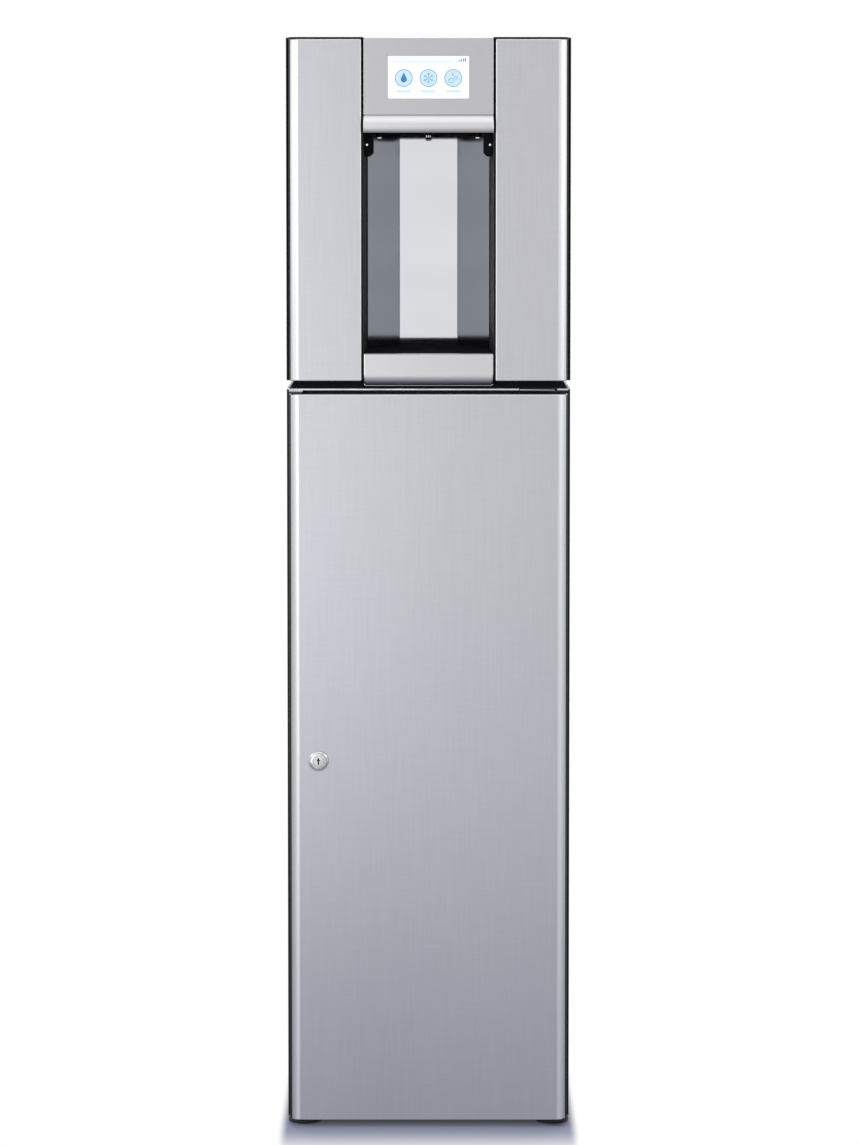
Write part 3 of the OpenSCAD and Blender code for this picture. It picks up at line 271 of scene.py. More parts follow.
def powder_coat(slot):
    """Satin black powder coat with its fine orange peel."""
    mat = plain(slot, COLOUR[slot], 0.5, Specular_IOR_Level=0.3)
    cloud(mat, slot, 10, 3, 0.38, 0.48)
    texture(mat, 750, 3, 0.44, 0.56, 0.00008)
    return mat


def enamel(slot, roughness=0.3):
    """Sprayed paint, smooth with a soft wave."""
    mat = plain(slot, COLOUR[slot], roughness)
    cloud(mat, slot, 12, 4, 0.98, 1.02)
    texture(mat, 260, 2, roughness - 0.04, roughness + 0.05, 0.00004)
    return mat


def glossy_enamel(slot):
    return enamel(slot, 0.16)


def gloss_plastic(slot):
    """Black plastic that mirrors, with the slightest wave and dust."""
    mat = plain(slot, COLOUR[slot], 0.08, Coat_Weight=0.4, Coat_Roughness=0.03)
    cloud(mat, slot, 420, 5, 0.9, 1.5, (0.5, 0.8))
    texture(mat, 9, 3, 0.06, 0.12)
    return mat


def dull_plastic(slot, gloss=0.1, share=1.0):
    """Black plastic that stays dark at a grazing angle."""
    mat = plain(slot + ("_dull" if gloss else "_matt"), COLOUR[slot], 0.5, Specular_IOR_Level=gloss)
    cloud(mat, slot, 24, 3, 0.85 * share, 1.15 * share)
    texture(mat, 1100, 2, 0.46, 0.58, 0.00002)
    return mat


def moulded_plastic(slot, roughness=0.42):
    """Matt plastic with a fine moulded grain."""
    mat = plain(slot, COLOUR[slot], roughness)
    cloud(mat, slot, 18, 3, 0.94, 1.04)
    texture(mat, 1300, 2, roughness - 0.05, roughness + 0.06, 0.00003)
    return mat


def soft_rubber(slot):
    return moulded_plastic(slot, 0.66)


def foam(slot):
    """Closed-cell foam with fine pores."""
    mat = plain(slot, COLOUR[slot], 0.85)
    place = add(mat, "TexCoord").outputs["Object"]
    cells = add(mat, "TexVoronoi", Vector=place, Scale=420.0).outputs["Distance"]
    vary_colour(mat, cells, COLOUR[slot], 0.7, 1.25, (0.1, 0.6))
    relief(mat, cells, 0.0003)
    return mat


def raw_fins(slot):
    mat = plain(slot, COLOUR[slot], 0.38, Metallic=1)
    ripple = grain(mat, (1100, 60, 60))
    vary_colour(mat, ripple, COLOUR[slot], 0.75, 1.1)
    vary_roughness(mat, ripple, 0.3, 0.46)
    return mat


def board_lacquer(slot):
    """Solder mask with faint traces under it."""
    mat = plain(slot, COLOUR[slot], 0.3)
    place = add(mat, "TexCoord").outputs["Object"]
    traces = add(mat, "TexBrick", Vector=place, Scale=90.0, Mortar_Size=0.03)
    vary_colour(mat, traces.outputs["Fac"], COLOUR[slot], 1.0, 1.7, (0.2, 0.8))
    return mat


def lit(name, colour, strength=1.0):
    """Clear cover with the light coming from behind it."""
    mat = plain(name, (0.02, 0.02, 0.02), 0.08, Emission_Color=(*colour, 1),
                Emission_Strength=strength)
    texture(mat, 30, 3, 0.05, 0.12)
    return mat


def lit_glass(slot):
    return lit(slot, (0.95, 0.975, 1.0))


FINISH = {
    "black_paint": powder_coat, "brushed_stainless": linen_steel, "satin_aluminium": satin_metal,
    "polished_steel": polished_metal, "zinc_steel": plated_metal, "lock_metal": nickel,
    "spout_steel": spout_metal, "black_gloss": gloss_plastic, "display": lit_glass,
    "black_plastic": moulded_plastic, "foot_rubber": soft_rubber, "gasket_rubber": soft_rubber,
    "liner_paint": enamel, "bottle_paint": enamel, "brass": machined_brass,
    "white_plastic": moulded_plastic, "blue_plastic": moulded_plastic, "insulation": foam,
    "compressor_paint": glossy_enamel, "fins": raw_fins, "pump_metal": pump_finish,
    "circuit_board": board_lacquer,
}
MATERIAL = {slot: make(slot) for slot, make in FINISH.items()}
# Copies of the stainless finish for the bends, with painted highlight and painted shade by the normal's
# X
BENDS_PAINTED_SHADING = bend_steel_painted_shading("brushed_stainless", 1.02, 0.6, (0.5, 0.8))
DOOR_BENDS_PAINTED_SHADING = bend_steel_painted_shading("brushed_stainless", 1.16, 0.72, (0.0, 0.5), 0.27)
# Darker copy of the polished steel for the niche's wings: painted shade
DARK_MIRROR_PAINTED_SHADE = polished_metal("polished_steel", (0.76, 0.77, 0.79), 0.07)
# Brighter copies of the satin finish, a painted highlight, with painted shade where they turn under
TRAY_SATIN_PAINTED_SHADING = satin_with_painted_shade_under("satin_aluminium", (0.74, 0.74, 0.75), 0.28, (0.42, 0.67))
LIP_SATIN_PAINTED_SHADING = satin_with_painted_shade_under("satin_aluminium", (0.82, 0.82, 0.83), 0.35, (0.6, 1.0))
# Darker copy of the satin finish: painted shade on the tray's hem and on the fascia's top flange
HEM_SATIN_PAINTED_SHADE = satin_metal("satin_aluminium", (0.3, 0.3, 0.31))
DULL_BLACK = dull_plastic("black_gloss")
MATT_BLACK = dull_plastic("black_plastic", 0.0, 1.6)
BLUE_LIGHT = lit("icon_blue", (0.02, 0.2, 0.6))
PALE_LIGHT = lit("icon_pale", (0.58, 0.82, 0.92))
for name, obj in nodes.items():
    for holder in obj.material_slots:
        holder.material = MATERIAL[SLOT_OF[name]]


# Mesh building

def block(low, high):
    """Box between two corners."""
    bm = bmesh.new()
    bmesh.ops.create_cube(bm, size=1)
    middle = (Vector(low) + Vector(high)) / 2
    size = Vector(high) - Vector(low)
    for v in bm.verts:
        v.co = middle + Vector(c * s for c, s in zip(v.co, size))
    return bm


def same(a, b):
    return abs(a - b) < TINY


def edges_at(bm, test):
    """Edges both of whose ends pass the test."""
    return [e for e in bm.edges if all(test(v.co) for v in e.verts)]


def bevel(bm, edges, width, segments):
    bmesh.ops.bevel(bm, geom=edges, offset=width, segments=segments, profile=0.5, affect="EDGES",
                    clamp_overlap=False)


def ease(bm, width, segments=2, angle=35):
    """Rounds every edge that is sharper than the angle."""
    limit = math.radians(angle)
    sharp = [e for e in bm.edges if len(e.link_faces) == 2 and e.calc_face_angle() > limit]
    bevel(bm, sharp, width, segments)
    return bm


def loft(rings):
    """Closed solid through rings that have the same number of points."""
    bm = bmesh.new()
    made = [[bm.verts.new(p) for p in ring] for ring in rings]
    bm.faces.new(made[0])
    bm.faces.new(reversed(made[-1]))
    for near, far in zip(made, made[1:]):
        for i in range(len(near)):
            j = (i + 1) % len(near)
            bm.faces.new((near[i], far[i], far[j], near[j]))
    bmesh.ops.recalc_face_normals(bm, faces=bm.faces)
    return bm


def prism(outline, along, low, high):
    """Outline drawn out along an axis; its two numbers lie on the other axes, in X, Y, Z order."""
    axis = "XYZ".index(along)
    return loft([[(*p[:axis], level, *p[axis:]) for p in outline] for level in (low, high)])


def arc(centre, radius, start, end, steps):
    """Points on an arc in degrees."""
    angles = [math.radians(start + (end - start) * i / steps) for i in range(steps + 1)]
    return [(centre[0] + radius * math.cos(a), centre[1] + radius * math.sin(a)) for a in angles]


def lobed(centre, radius, depth, count):
    """Outline of a round grip with shallow lobes."""
    turns = [math.tau * i / (8 * count) for i in range(8 * count)]
    radii = [radius - depth * (1 - abs(math.cos(count * t / 2))) for t in turns]
    return [(centre[0] + r * math.cos(t), centre[1] + r * math.sin(t)) for t, r in zip(turns, radii)]


def turned_points(points, centre, degrees):
    """Points given along and across a direction, set about a centre."""
    turn = math.radians(degrees)
    along = Vector((math.cos(turn), math.sin(turn)))
    across = Vector((-along.y, along.x))
    placed = [along * s + across * t for s, t in points]
    return [(centre[0] + p.x, centre[1] + p.y) for p in placed]


def lathe(profile, centre, axis="Y", steps=64):
    """Turns a profile in millimetres, of (radius, distance along the axis), about the axis."""
    bm = bmesh.new()
    ring = [bm.verts.new((r * MM, 0, d * MM)) for r, d in profile]
    edges = [bm.edges.new(pair) for pair in zip(ring, ring[1:])]
    bmesh.ops.spin(bm, geom=ring + edges, cent=(0, 0, 0), axis=(0, 0, 1), angle=math.tau,
                   steps=steps, use_duplicate=False)
    bmesh.ops.remove_doubles(bm, verts=bm.verts, dist=TINY)
    turn = {"X": Matrix.Rotation(math.pi / 2, 4, "Y"), "Y": Matrix.Rotation(-math.pi / 2, 4, "X"),
            "Z": Matrix.Identity(4)}[axis]
    bmesh.ops.transform(bm, matrix=Matrix.Translation(centre) @ turn, verts=bm.verts)
    bmesh.ops.recalc_face_normals(bm, faces=bm.faces)
    return bm


def rod(radius, start, end):
    """Profile of a plain round rod."""
    return [(0, start), (radius, start), (radius, end), (0, end)]


def washer(inner, outer, start, end):
    """Profile of a flat ring, or of a disc where inner is 0."""
    return [(inner, start), (outer, start), (outer, end), (inner, end), (inner, start)]


def hexagonal(centre, across_flats, axis, start, end, rounding, turn=0.0):
    """Nut, bolt head or flats, solid and with rounded edges."""
    corners = arc(centre, across_flats / math.sqrt(3), turn, turn + 300, 5)
    return ease(prism(corners, axis, start, end), rounding)


def threads(radius, start, end, pitch=1.0):
    """Profile of a thread's ridges."""
    count = int((end - start) / pitch)
    return [(radius - 0.55 * pitch * (i % 2), start + pitch * i / 2) for i in range(2 * count + 1)]


def mesh_of(bm, name):
    """The finished mesh; the working one is let go."""
    mesh = bpy.data.meshes.new(name)
    bm.to_mesh(mesh)
    bm.free()
    return mesh


def new_object(name, data):
    obj = bpy.data.objects.new(name, data)
    bpy.context.scene.collection.objects.link(obj)
    return obj


def merged(*parts):
    """One mesh from several."""
    whole = bmesh.new()
    for part in parts:
        held = mesh_of(part, "part")
        whole.from_mesh(held)
        bpy.data.meshes.remove(held)
    return whole


def apply_modifiers(obj):
    graph = bpy.context.evaluated_depsgraph_get()
    made = bpy.data.meshes.new_from_object(obj.evaluated_get(graph), depsgraph=graph,
                                           preserve_all_data_layers=True)
    obj.modifiers.clear()
    obj.data = made


def cut_out(obj, cutter):
    """Takes the cutter's shape out of the object."""
    tool = new_object("cutter", mesh_of(cutter, "cutter"))
    modifier = obj.modifiers.new("cut", "BOOLEAN")
    modifier.object = tool
    modifier.solver = "EXACT"
    apply_modifiers(obj)
    bpy.data.objects.remove(tool, do_unlink=True)


def shade_by_angle(obj, angle):
    """Smooth shading with sharp edges beyond the angle, and flat faces kept flat."""
    bm = bmesh.new()
    bm.from_mesh(obj.data)
    for face in bm.faces:
        face.smooth = True
    for edge in bm.edges:
        edge.smooth = len(edge.link_faces) == 2 and edge.calc_face_angle() < math.radians(angle)
    bm.to_mesh(obj.data)
    bm.free()
    weigh = obj.modifiers.new("weigh", "WEIGHTED_NORMAL")
    weigh.keep_sharp = True
    apply_modifiers(obj)


def piece(name, bm, body, slot, replaced=(), material=None, wall=0.0, cuts=(), angle=38):
    """New piece on a body; wall gives an open shell its thickness, inwards."""
    obj = new_object(name, mesh_of(bm, name))
    if wall:
        shell = obj.modifiers.new("wall", "SOLIDIFY")
        shell.thickness = wall
        shell.offset = -1
        shell.use_even_offset = True
        apply_modifiers(obj)
    for cutter in cuts:
        cut_out(obj, cutter)
    shade_by_angle(obj, angle)
    obj.data.name = name
    obj.data.materials.clear()
    obj.data.materials.append(material or MATERIAL[slot])
    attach(obj, body)
    if replaced:
        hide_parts(*replaced)
    return obj


def stand_in(name, bm, node, **more):
    """New piece that stands for a node, on its body and in its slot."""
    return piece(name, bm, BODY_OF[node], SLOT_OF[node], (node,), **more)


def dress(obj, material, picked):
    """Gives the faces that the test picks another material."""
    obj.data.materials.append(material)
    for face in obj.data.polygons:
        if picked(face):
            face.material_index = len(obj.data.materials) - 1


def eased(node, width=0.0004, segments=2, material=None):
    """The node's own shape with its sharp edges rounded, standing for the node."""
    bm = bmesh.new()
    bm.from_mesh(nodes[node].data)
    bmesh.ops.remove_doubles(bm, verts=bm.verts, dist=TINY)
    bmesh.ops.dissolve_limit(bm, angle_limit=math.radians(0.5), verts=bm.verts, edges=bm.edges)
    ease(bm, width, segments)
    stand_in(node + "_shell", bm, node, material=material)


def middle_of(node):
    low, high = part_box(node)
    return (low + high) / 2


# Camera

EYE = (0.0012, -4.5145, 1.11)
FRONT_DISTANCE = 4.3
FRAME_HEIGHT = 1.348
TILT_DOWN = 3.4
SHIFT = -0.1402


def set_camera():
    lens = bpy.data.cameras.new("camera")
    lens.lens = lens.sensor_width * FRONT_DISTANCE / FRAME_HEIGHT
    lens.shift_y = SHIFT
    camera = new_object("camera", lens)
    camera.location = EYE
    camera.rotation_euler = (math.radians(90 - TILT_DOWN), 0, 0)
    bpy.context.scene.camera = camera


# Stage and light

AMBIENT = 0.4
AMBIENT_COLOUR = (0.94, 0.97, 1, 1)
WHITE = (1, 1, 1, 1)
ORIGIN = (0, 0, 0)
FLOOR_COLOUR = (0.33, 0.36, 0.5)
FLOOR_R = 14
FLOOR_DROP = 0.0002
# How the floor pales around the object, seen and mirrored: stretch, reach and least
SEEN_FADE = ((11, 1, 0), (0, 0.15), 0.04)
MIRRORED_FADE = ((1, 1, 0), (0.7, 2.9), 0.32)


def mirrored_rays(owner, path):
    """1 for a ray that a surface has mirrored or let through."""
    return combine(owner, "MAXIMUM", path.outputs["Is Glossy Ray"], path.outputs["Is Transmission Ray"])


def mix_shaders(owner, share, first, second, out):
    """Leads a mix of two shaders to the surface of the output."""
    mix = add(owner, "MixShader")
    for socket, source in zip(mix.inputs, (share, first.outputs[0], second.outputs[0])):
        set_input(owner, socket, source)
    set_input(owner, out.inputs["Surface"], mix.outputs[0])


def set_world():
    """White where it is seen or mirrored, and a plain soft level where it lights a surface."""
    world = bpy.data.worlds.new("studio")
    world.use_nodes = True
    world.node_tree.nodes.clear()
    glow = add(world, "Background", Color=AMBIENT_COLOUR, Strength=AMBIENT)
    backdrop = add(world, "Background", Color=WHITE)
    path = add(world, "LightPath")
    seen = combine(world, "MAXIMUM", path.outputs["Is Camera Ray"], mirrored_rays(world, path))
    mix_shaders(world, seen, glow, backdrop, add(world, "OutputWorld"))
    world.cycles.sampling_method = "NONE"
    bpy.context.scene.world = world


def softbox(name, place, target, width, height, power):
    lamp = bpy.data.lights.new(name, "AREA")
    lamp.shape = "RECTANGLE"
    lamp.size = width
    lamp.size_y = height
    lamp.energy = power
    obj = new_object(name, lamp)
    obj.location = place
    obj.rotation_euler = (Vector(target) - Vector(place)).to_track_quat("-Z", "Y").to_euler()
    obj.visible_camera = False


def set_lights():
    softbox("top_light", (0, 1.5, 3.3), (0, 0, 0.5), 2.4, 1.8, 62)
    softbox("canopy", (0, -2.0, 2.9), (0, -0.2, 1.1), 2.2, 1.6, 6.3)
    softbox("left_front", (-1.0, -3.0, 1.25), (-0.1, -0.2, 0.9), 0.8, 1.7, 5.7)
    softbox("left_low", (-0.9, -3.0, 0.4), (-0.1, -0.2, 0.3), 0.9, 0.8, 5.5)
    softbox("left_card", (-1.25, -1.0, 1.3), (0, -1.0, 1.2), 2.6, 0.8, 6.5)
    softbox("right_card", (1.25, -1.0, 1.3), (0, -1.0, 1.2), 2.6, 0.8, 7.5)


def reach_from_object(mat, stretch, reach, least):
    """From least at the object's footprint to 1 at the reach's end; stretch weighs X, Y and Z."""
    low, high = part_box("cabinet_floor")
    centre = ((low.x + high.x) / 2, (FACE + high.y) / 2, 0)
    half = ((high.x - low.x) / 2, (high.y - FACE) / 2, 1)
    apart = add(mat, "TexCoord").outputs["Object"]
    for how, other in (("SUBTRACT", centre), ("ABSOLUTE", ORIGIN), ("SUBTRACT", half),
                       ("MAXIMUM", ORIGIN), ("MULTIPLY", stretch)):
        apart = combine(mat, how, apart, other, kind="VectorMath")
    away = add(mat, "VectorMath", Vector=apart)
    away.operation = "LENGTH"
    fade = add(mat, "MapRange", Value=away.outputs["Value"], From_Min=reach[0], From_Max=reach[1],
               To_Min=least)
    fade.interpolation_type = "SMOOTHSTEP"
    return fade.outputs[0]


def floor_finish():
    """Matt floor near the object, and plain white where it is seen or mirrored further away."""
    mat = plain("floor", FLOOR_COLOUR, 0.9, Specular_IOR_Level=0.0)
    path = add(mat, "LightPath")
    seen = combine(mat, "MULTIPLY", path.outputs["Is Camera Ray"], reach_from_object(mat, *SEEN_FADE))
    reflected = combine(mat, "MULTIPLY", mirrored_rays(mat, path),
                        reach_from_object(mat, *MIRRORED_FADE))
    glow = add(mat, "Emission", Color=WHITE, Strength=1.0)
    mix_shaders(mat, combine(mat, "MAXIMUM", seen, reflected), shader_of(mat), glow,
                mat.node_tree.nodes["Material Output"])
    return mat


def set_floor():
    """Pale floor with the object's shadow; it fades into the white backdrop around it."""
    bm = bmesh.new()
    bmesh.ops.create_circle(bm, cap_ends=True, radius=FLOOR_R, segments=96)
    floor = new_object("floor", mesh_of(bm, "floor"))
    floor.location.z = -FLOOR_DROP
    floor.data.materials.append(floor_finish())


# Fronts

WALL_X = SIDE_X - 0.002
OUTER_X = SIDE_X - 0.006
LOCK = middle_of("lock_body")
LOCK_FACE = (LOCK.x, FACE, LOCK.z)
TURNED = 0.8
FLAT = 0.999
FASCIA_BEND = 0.0022


def folded_front(node, left_r, right_r, bends, cuts=()):
    """Sheet folded back on all four sides, open behind, with rounded bends in painted highlight and
    painted shade, and black outer folds.
    """
    low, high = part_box(node)
    bm = block(low, high)
    for x, radius in ((low.x, left_r), (high.x, right_r)):
        bevel(bm, edges_at(bm, lambda p: same(p.x, x) and same(p.y, low.y)), radius, 10)
    for z in (low.z, high.z):
        rear = edges_at(bm, lambda p: same(p.y, high.y))
        bevel(bm, [e for e in edges_at(bm, lambda p: same(p.z, z)) if e not in rear], BEND_R, 4)
    rear = [f for f in bm.faces if all(same(v.co.y, high.y) for v in f.verts)]
    bmesh.ops.delete(bm, geom=rear, context="FACES")
    sheet = stand_in(node + "_sheet", bm, node, wall=SKIN, cuts=cuts)
    # The bends take a finish with painted highlight and painted shade
    dress(sheet, bends, lambda face: abs(face.normal.y) < FLAT)
    dress(sheet, DULL_BLACK,
          lambda face: abs(face.normal.x) > TURNED and abs(face.center.x) > OUTER_X)
    dress(sheet, MATERIAL["black_paint"],
          lambda face: abs(face.normal.x) > FLAT and abs(face.center.x) > WALL_X)


def door_and_panels():
    """Door sheet with holes for the lock and the hinge pins, and the two panels beside the niche."""
    pivot = next(j for j in frame["joints"] if j["name"] == "door_hinge")["pos_m"]
    barrel = lathe(rod(9.6, -20, 20), LOCK_FACE)
    pins = [lathe(rod(3.5, -4, 4), (pivot[0], pivot[1], end.z), "Z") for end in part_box("door_skin")]
    folded_front("door_skin", CORNER_R, CORNER_R, DOOR_BENDS_PAINTED_SHADING, [barrel] + pins)
    folded_front("front_panel_left", CORNER_R, BEND_R, BENDS_PAINTED_SHADING)
    folded_front("front_panel_right", BEND_R, CORNER_R, BENDS_PAINTED_SHADING)


def over_screen(rim, front, back):
    """Block as large as the screen but for a rim."""
    return block((SCREEN_LOW.x + rim, front, SCREEN_LOW.z + rim),
                 (SCREEN_HIGH.x - rim, back, SCREEN_HIGH.z - rim))


def fascia_section(low, high, crease_z):
    """Points in Y and Z of the front, from the top flange down to the lip's foot, and of the rear."""
    bend, thick = FASCIA_BEND, 0.002
    lip_r, lip_sunk = 0.0212, 0.0006
    tilt_up, tilt_down = 36, 21
    under_r = 0.0024
    lip = (FACE + lip_r * math.cos(math.radians(tilt_up)) + lip_sunk,
           crease_z - lip_r * math.sin(math.radians(tilt_up)))
    top = arc((FACE + bend, high.z - bend), bend, 90, 180, 5)
    crease = [(FACE, crease_z + 0.0011), (FACE + 0.0009, crease_z + 0.0003)]
    swell = arc(lip, lip_r, 180 - tilt_up, 180 + tilt_down, 16)
    turn_y = swell[-1][0] + under_r * math.cos(math.radians(tilt_down))
    turn = arc((turn_y, low.z + under_r), under_r, 180 + tilt_down, 270, 6)
    foot = [(high.y, low.z), (high.y, low.z + thick)]
    inner = arc(lip, lip_r - thick, 180 + tilt_down, 180 - tilt_up, 12)
    flange = [(FACE + thick, high.z - thick), (high.y, high.z - thick), (high.y, high.z)]
    rear = (foot + [(inner[0][0] + 0.001, low.z + thick)] + inner
            + [(FACE + thick + lip_sunk, crease_z)] + flange)
    return top + crease + swell + turn, rear


def fascia_sheet():
    """Flat sheet with a top flange, a crease, and a lip that swells out and turns under; the lip carries
    painted highlight and painted shade, the top flange painted shade.
    """
    low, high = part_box("fascia")
    crease_z = low.z + 0.0192
    edge = 0.0008
    front, rear = fascia_section(low, high, crease_z)

    def ring(x, back):
        return [(x, y + back, z) for y, z in front] + [(x, y, z) for y, z in rear]

    sheet = loft([ring(low.x, edge), ring(low.x + edge, 0), ring(high.x - edge, 0), ring(high.x, edge)])
    window = over_screen(0.0047, FACE - 0.01, FACE + 0.008)
    made = stand_in("fascia_sheet", sheet, "fascia", cuts=[window], angle=30)
    # The lip: brighter satin as a painted highlight, darkening as it turns under as painted shade
    dress(made, LIP_SATIN_PAINTED_SHADING, lambda face: face.center.z < crease_z)
    # The top flange: a darker satin as painted shade
    dress(made, HEM_SATIN_PAINTED_SHADE, lambda face: face.normal.z > 0.9 and face.center.z > high.z - FASCIA_BEND)


def tray_face():
    """Front of the drip tray: eased top edge, turned under below, with a hem and round lower corners;
    painted highlight on the face and its top edge, painted shade where it turns under and on the hem.
    """
    low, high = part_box("tray_front")
    height = high.z - low.z
    under_r, under = 0.0165, 0.0137
    hem, edge, corner, crest = 0.0009, 0.0006, 0.003, 0.0008
    sweep = math.degrees(math.asin((under - hem) / under_r))
    belly = arc((low.y + under_r, low.z + under), under_r, 180, 180 + sweep, 10)
    front = [(low.y + crest, high.z), (low.y, high.z - crest)] + belly + [(belly[-1][0], low.z)]
    rear = [(high.y, low.z), (high.y, high.z)]

    def ring(inset, x):
        lift = corner - math.sqrt(corner ** 2 - (corner - inset) ** 2)
        squeeze = 1 - lift / height
        points = [(y + max(0, edge - inset), z) for y, z in front] + rear
        return [(x, y, high.z - (high.z - z) * squeeze) for y, z in points]

    insets = [corner - x for x, _ in arc((0, 0), corner, 0, 90, 6)]
    rings = [ring(i, low.x + i) for i in insets] + [ring(i, high.x - i) for i in reversed(insets)]
    face = stand_in("tray_face", loft(rings), "tray_front", material=TRAY_SATIN_PAINTED_SHADING, angle=30)
    # Painted shade on the hem
    dress(face, HEM_SATIN_PAINTED_SHADE, lambda part: part.center.z < low.z + hem)
    # Painted highlight along the eased top edge
    dress(face, BENDS_PAINTED_SHADING, lambda part: part.normal.y < -0.5 and part.normal.z > 0.5)


# Display: a lit glass in its housing, with plain icons for three kinds of water

PRINT = (FACE + 0.0001, FACE + 0.0004)
PRINT_DEEP = 0.3
ICON_X = (-0.029, 0, 0.029)
ICON_Z = (SCREEN_LOW.z + SCREEN_HIGH.z) / 2 - 0.001


def printed(outline):
    """Thin print on the glass, from an outline in X and Z."""
    return prism(outline, "Y", *PRINT)


def printed_bar(x0, z0, x1, z1):
    return printed([(x0, z0), (x1, z0), (x1, z1), (x0, z1)])


def printed_ring(x, z, inner, outer, start=0.0, steps=48):
    """Ring or disc on the glass, its radii in millimetres."""
    return lathe(washer(inner, outer, start, PRINT_DEEP), (x, PRINT[0], z), steps=steps)


def drop_icon(x):
    """Round below, with sides that meet in a point."""
    return printed(arc((x, ICON_Z - 0.0015), 0.0036, -205, 25, 16) + [(x, ICON_Z + 0.0066)])


def crystal_icon(x):
    """Six arms, each with a barb on either side."""
    half = 0.0003
    arm = [(0.0009, half), (0.0061, half), (0.0061, -half), (0.0009, -half)]
    barb = [(0.0038, 0.0004), (0.0052, 0.0018), (0.0056, 0.0014), (0.0043, 0.0004)]
    shapes = (arm, barb, [(s, -t) for s, t in barb])
    return [printed(turned_points(shape, (x, ICON_Z), 60 * i + 30))
            for i in range(6) for shape in shapes]


def bubbles_icon(x):
    bubbles = ((-0.0025, -0.003, 3.0), (0.0032, 0.0005, 1.9), (-0.0005, 0.0042, 1.3))
    return [printed_ring(x + right, ICON_Z + up, r - 0.5, r, steps=32) for right, up, r in bubbles]


def level_mark():
    """Five bars that rise to the right, near the screen's upper corner."""
    bar_w, pitch, least, rise = 0.0012, 0.0022, 0.001, 0.0008
    left, foot = 0.034, SCREEN_HIGH.z - 0.0118
    return [printed_bar(left + pitch * i, foot, left + pitch * i + bar_w, foot + least + rise * i)
            for i in range(5)]


def pale_bands():
    """A pale disc in each icon's ring, a short band under it, and a long one along the top."""
    reach, below, half = 0.0072, 0.0155, 0.0011
    bands = []
    for x in ICON_X:
        bands.append(printed_ring(x, ICON_Z, 0, 9.5, 0.1))
        bands.append(printed(arc((x - reach, ICON_Z - below), half, 90, 270, 6)
                             + arc((x + reach, ICON_Z - below), half, -90, 90, 6)))
    foot = SCREEN_HIGH.z - 0.0122
    bands.append(printed_bar(SCREEN_LOW.x + 0.0095, foot, 0.030, foot + 0.0007))
    return bands


def display():
    """Housing, glass before it, and the two tones of print on the glass."""
    body = BODY_OF["display_unit"]
    behind = FACE + 0.0021
    housing = over_screen(0, behind, SCREEN_HIGH.y)
    piece("display_housing", ease(housing, 0.001), body, "black_plastic")
    glass = over_screen(0.005, FACE + 0.0003, behind)
    stand_in("display_glass", ease(glass, 0.0004), "display_unit")
    rings = [printed_ring(x, ICON_Z, 9.6, 10.3) for x in ICON_X]
    icons = [drop_icon(ICON_X[0])] + crystal_icon(ICON_X[1]) + bubbles_icon(ICON_X[2])
    piece("display_icons", merged(*rings, *icons, *level_mark()), body, "display",
          material=BLUE_LIGHT)
    piece("display_bands", merged(*pale_bands()), body, "display", material=PALE_LIGHT)


# Niche: dull black cheeks and tray, pods whose eye glows as a painted glint, lamps, spouts

def bowed_wing(node, side):
    """Polished sheet beside the niche's back, bowed outwards a little between its upright edges, in a
    darker copy of the steel that is painted shade.
    """
    bow, steps = 0.0005, 12
    low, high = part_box(node)
    back_low, back_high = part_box("niche_back")
    start = Vector((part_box("niche_cheek_right")[0].x, low.y))
    run = Vector((back_high.x, back_low.y)) - start
    outward = Vector((run.y, -run.x)).normalized()
    shares = [i / steps for i in range(steps + 1)]
    inner = [start + run * t + outward * bow * 4 * t * (1 - t) for t in shares]
    outer = [p + outward * (back_high.y - back_low.y) for p in reversed(inner)]
    outline = [(side * p.x, p.y) for p in inner + outer]
    stand_in(node + "_sheet", prism(outline, "Z", low.z, high.z), node, material=DARK_MIRROR_PAINTED_SHADE, angle=30)


def niche_walls():
    for node in ("niche_cheek_left", "niche_cheek_right"):
        eased(node, material=DULL_BLACK)
    for node in ("nozzle_carrier", "drip_grille", "drip_tray"):
        eased(node, material=MATT_BLACK)
    eased("niche_back", 0.0003)
    bowed_wing("niche_wing_left", -1)
    bowed_wing("niche_wing_right", 1)


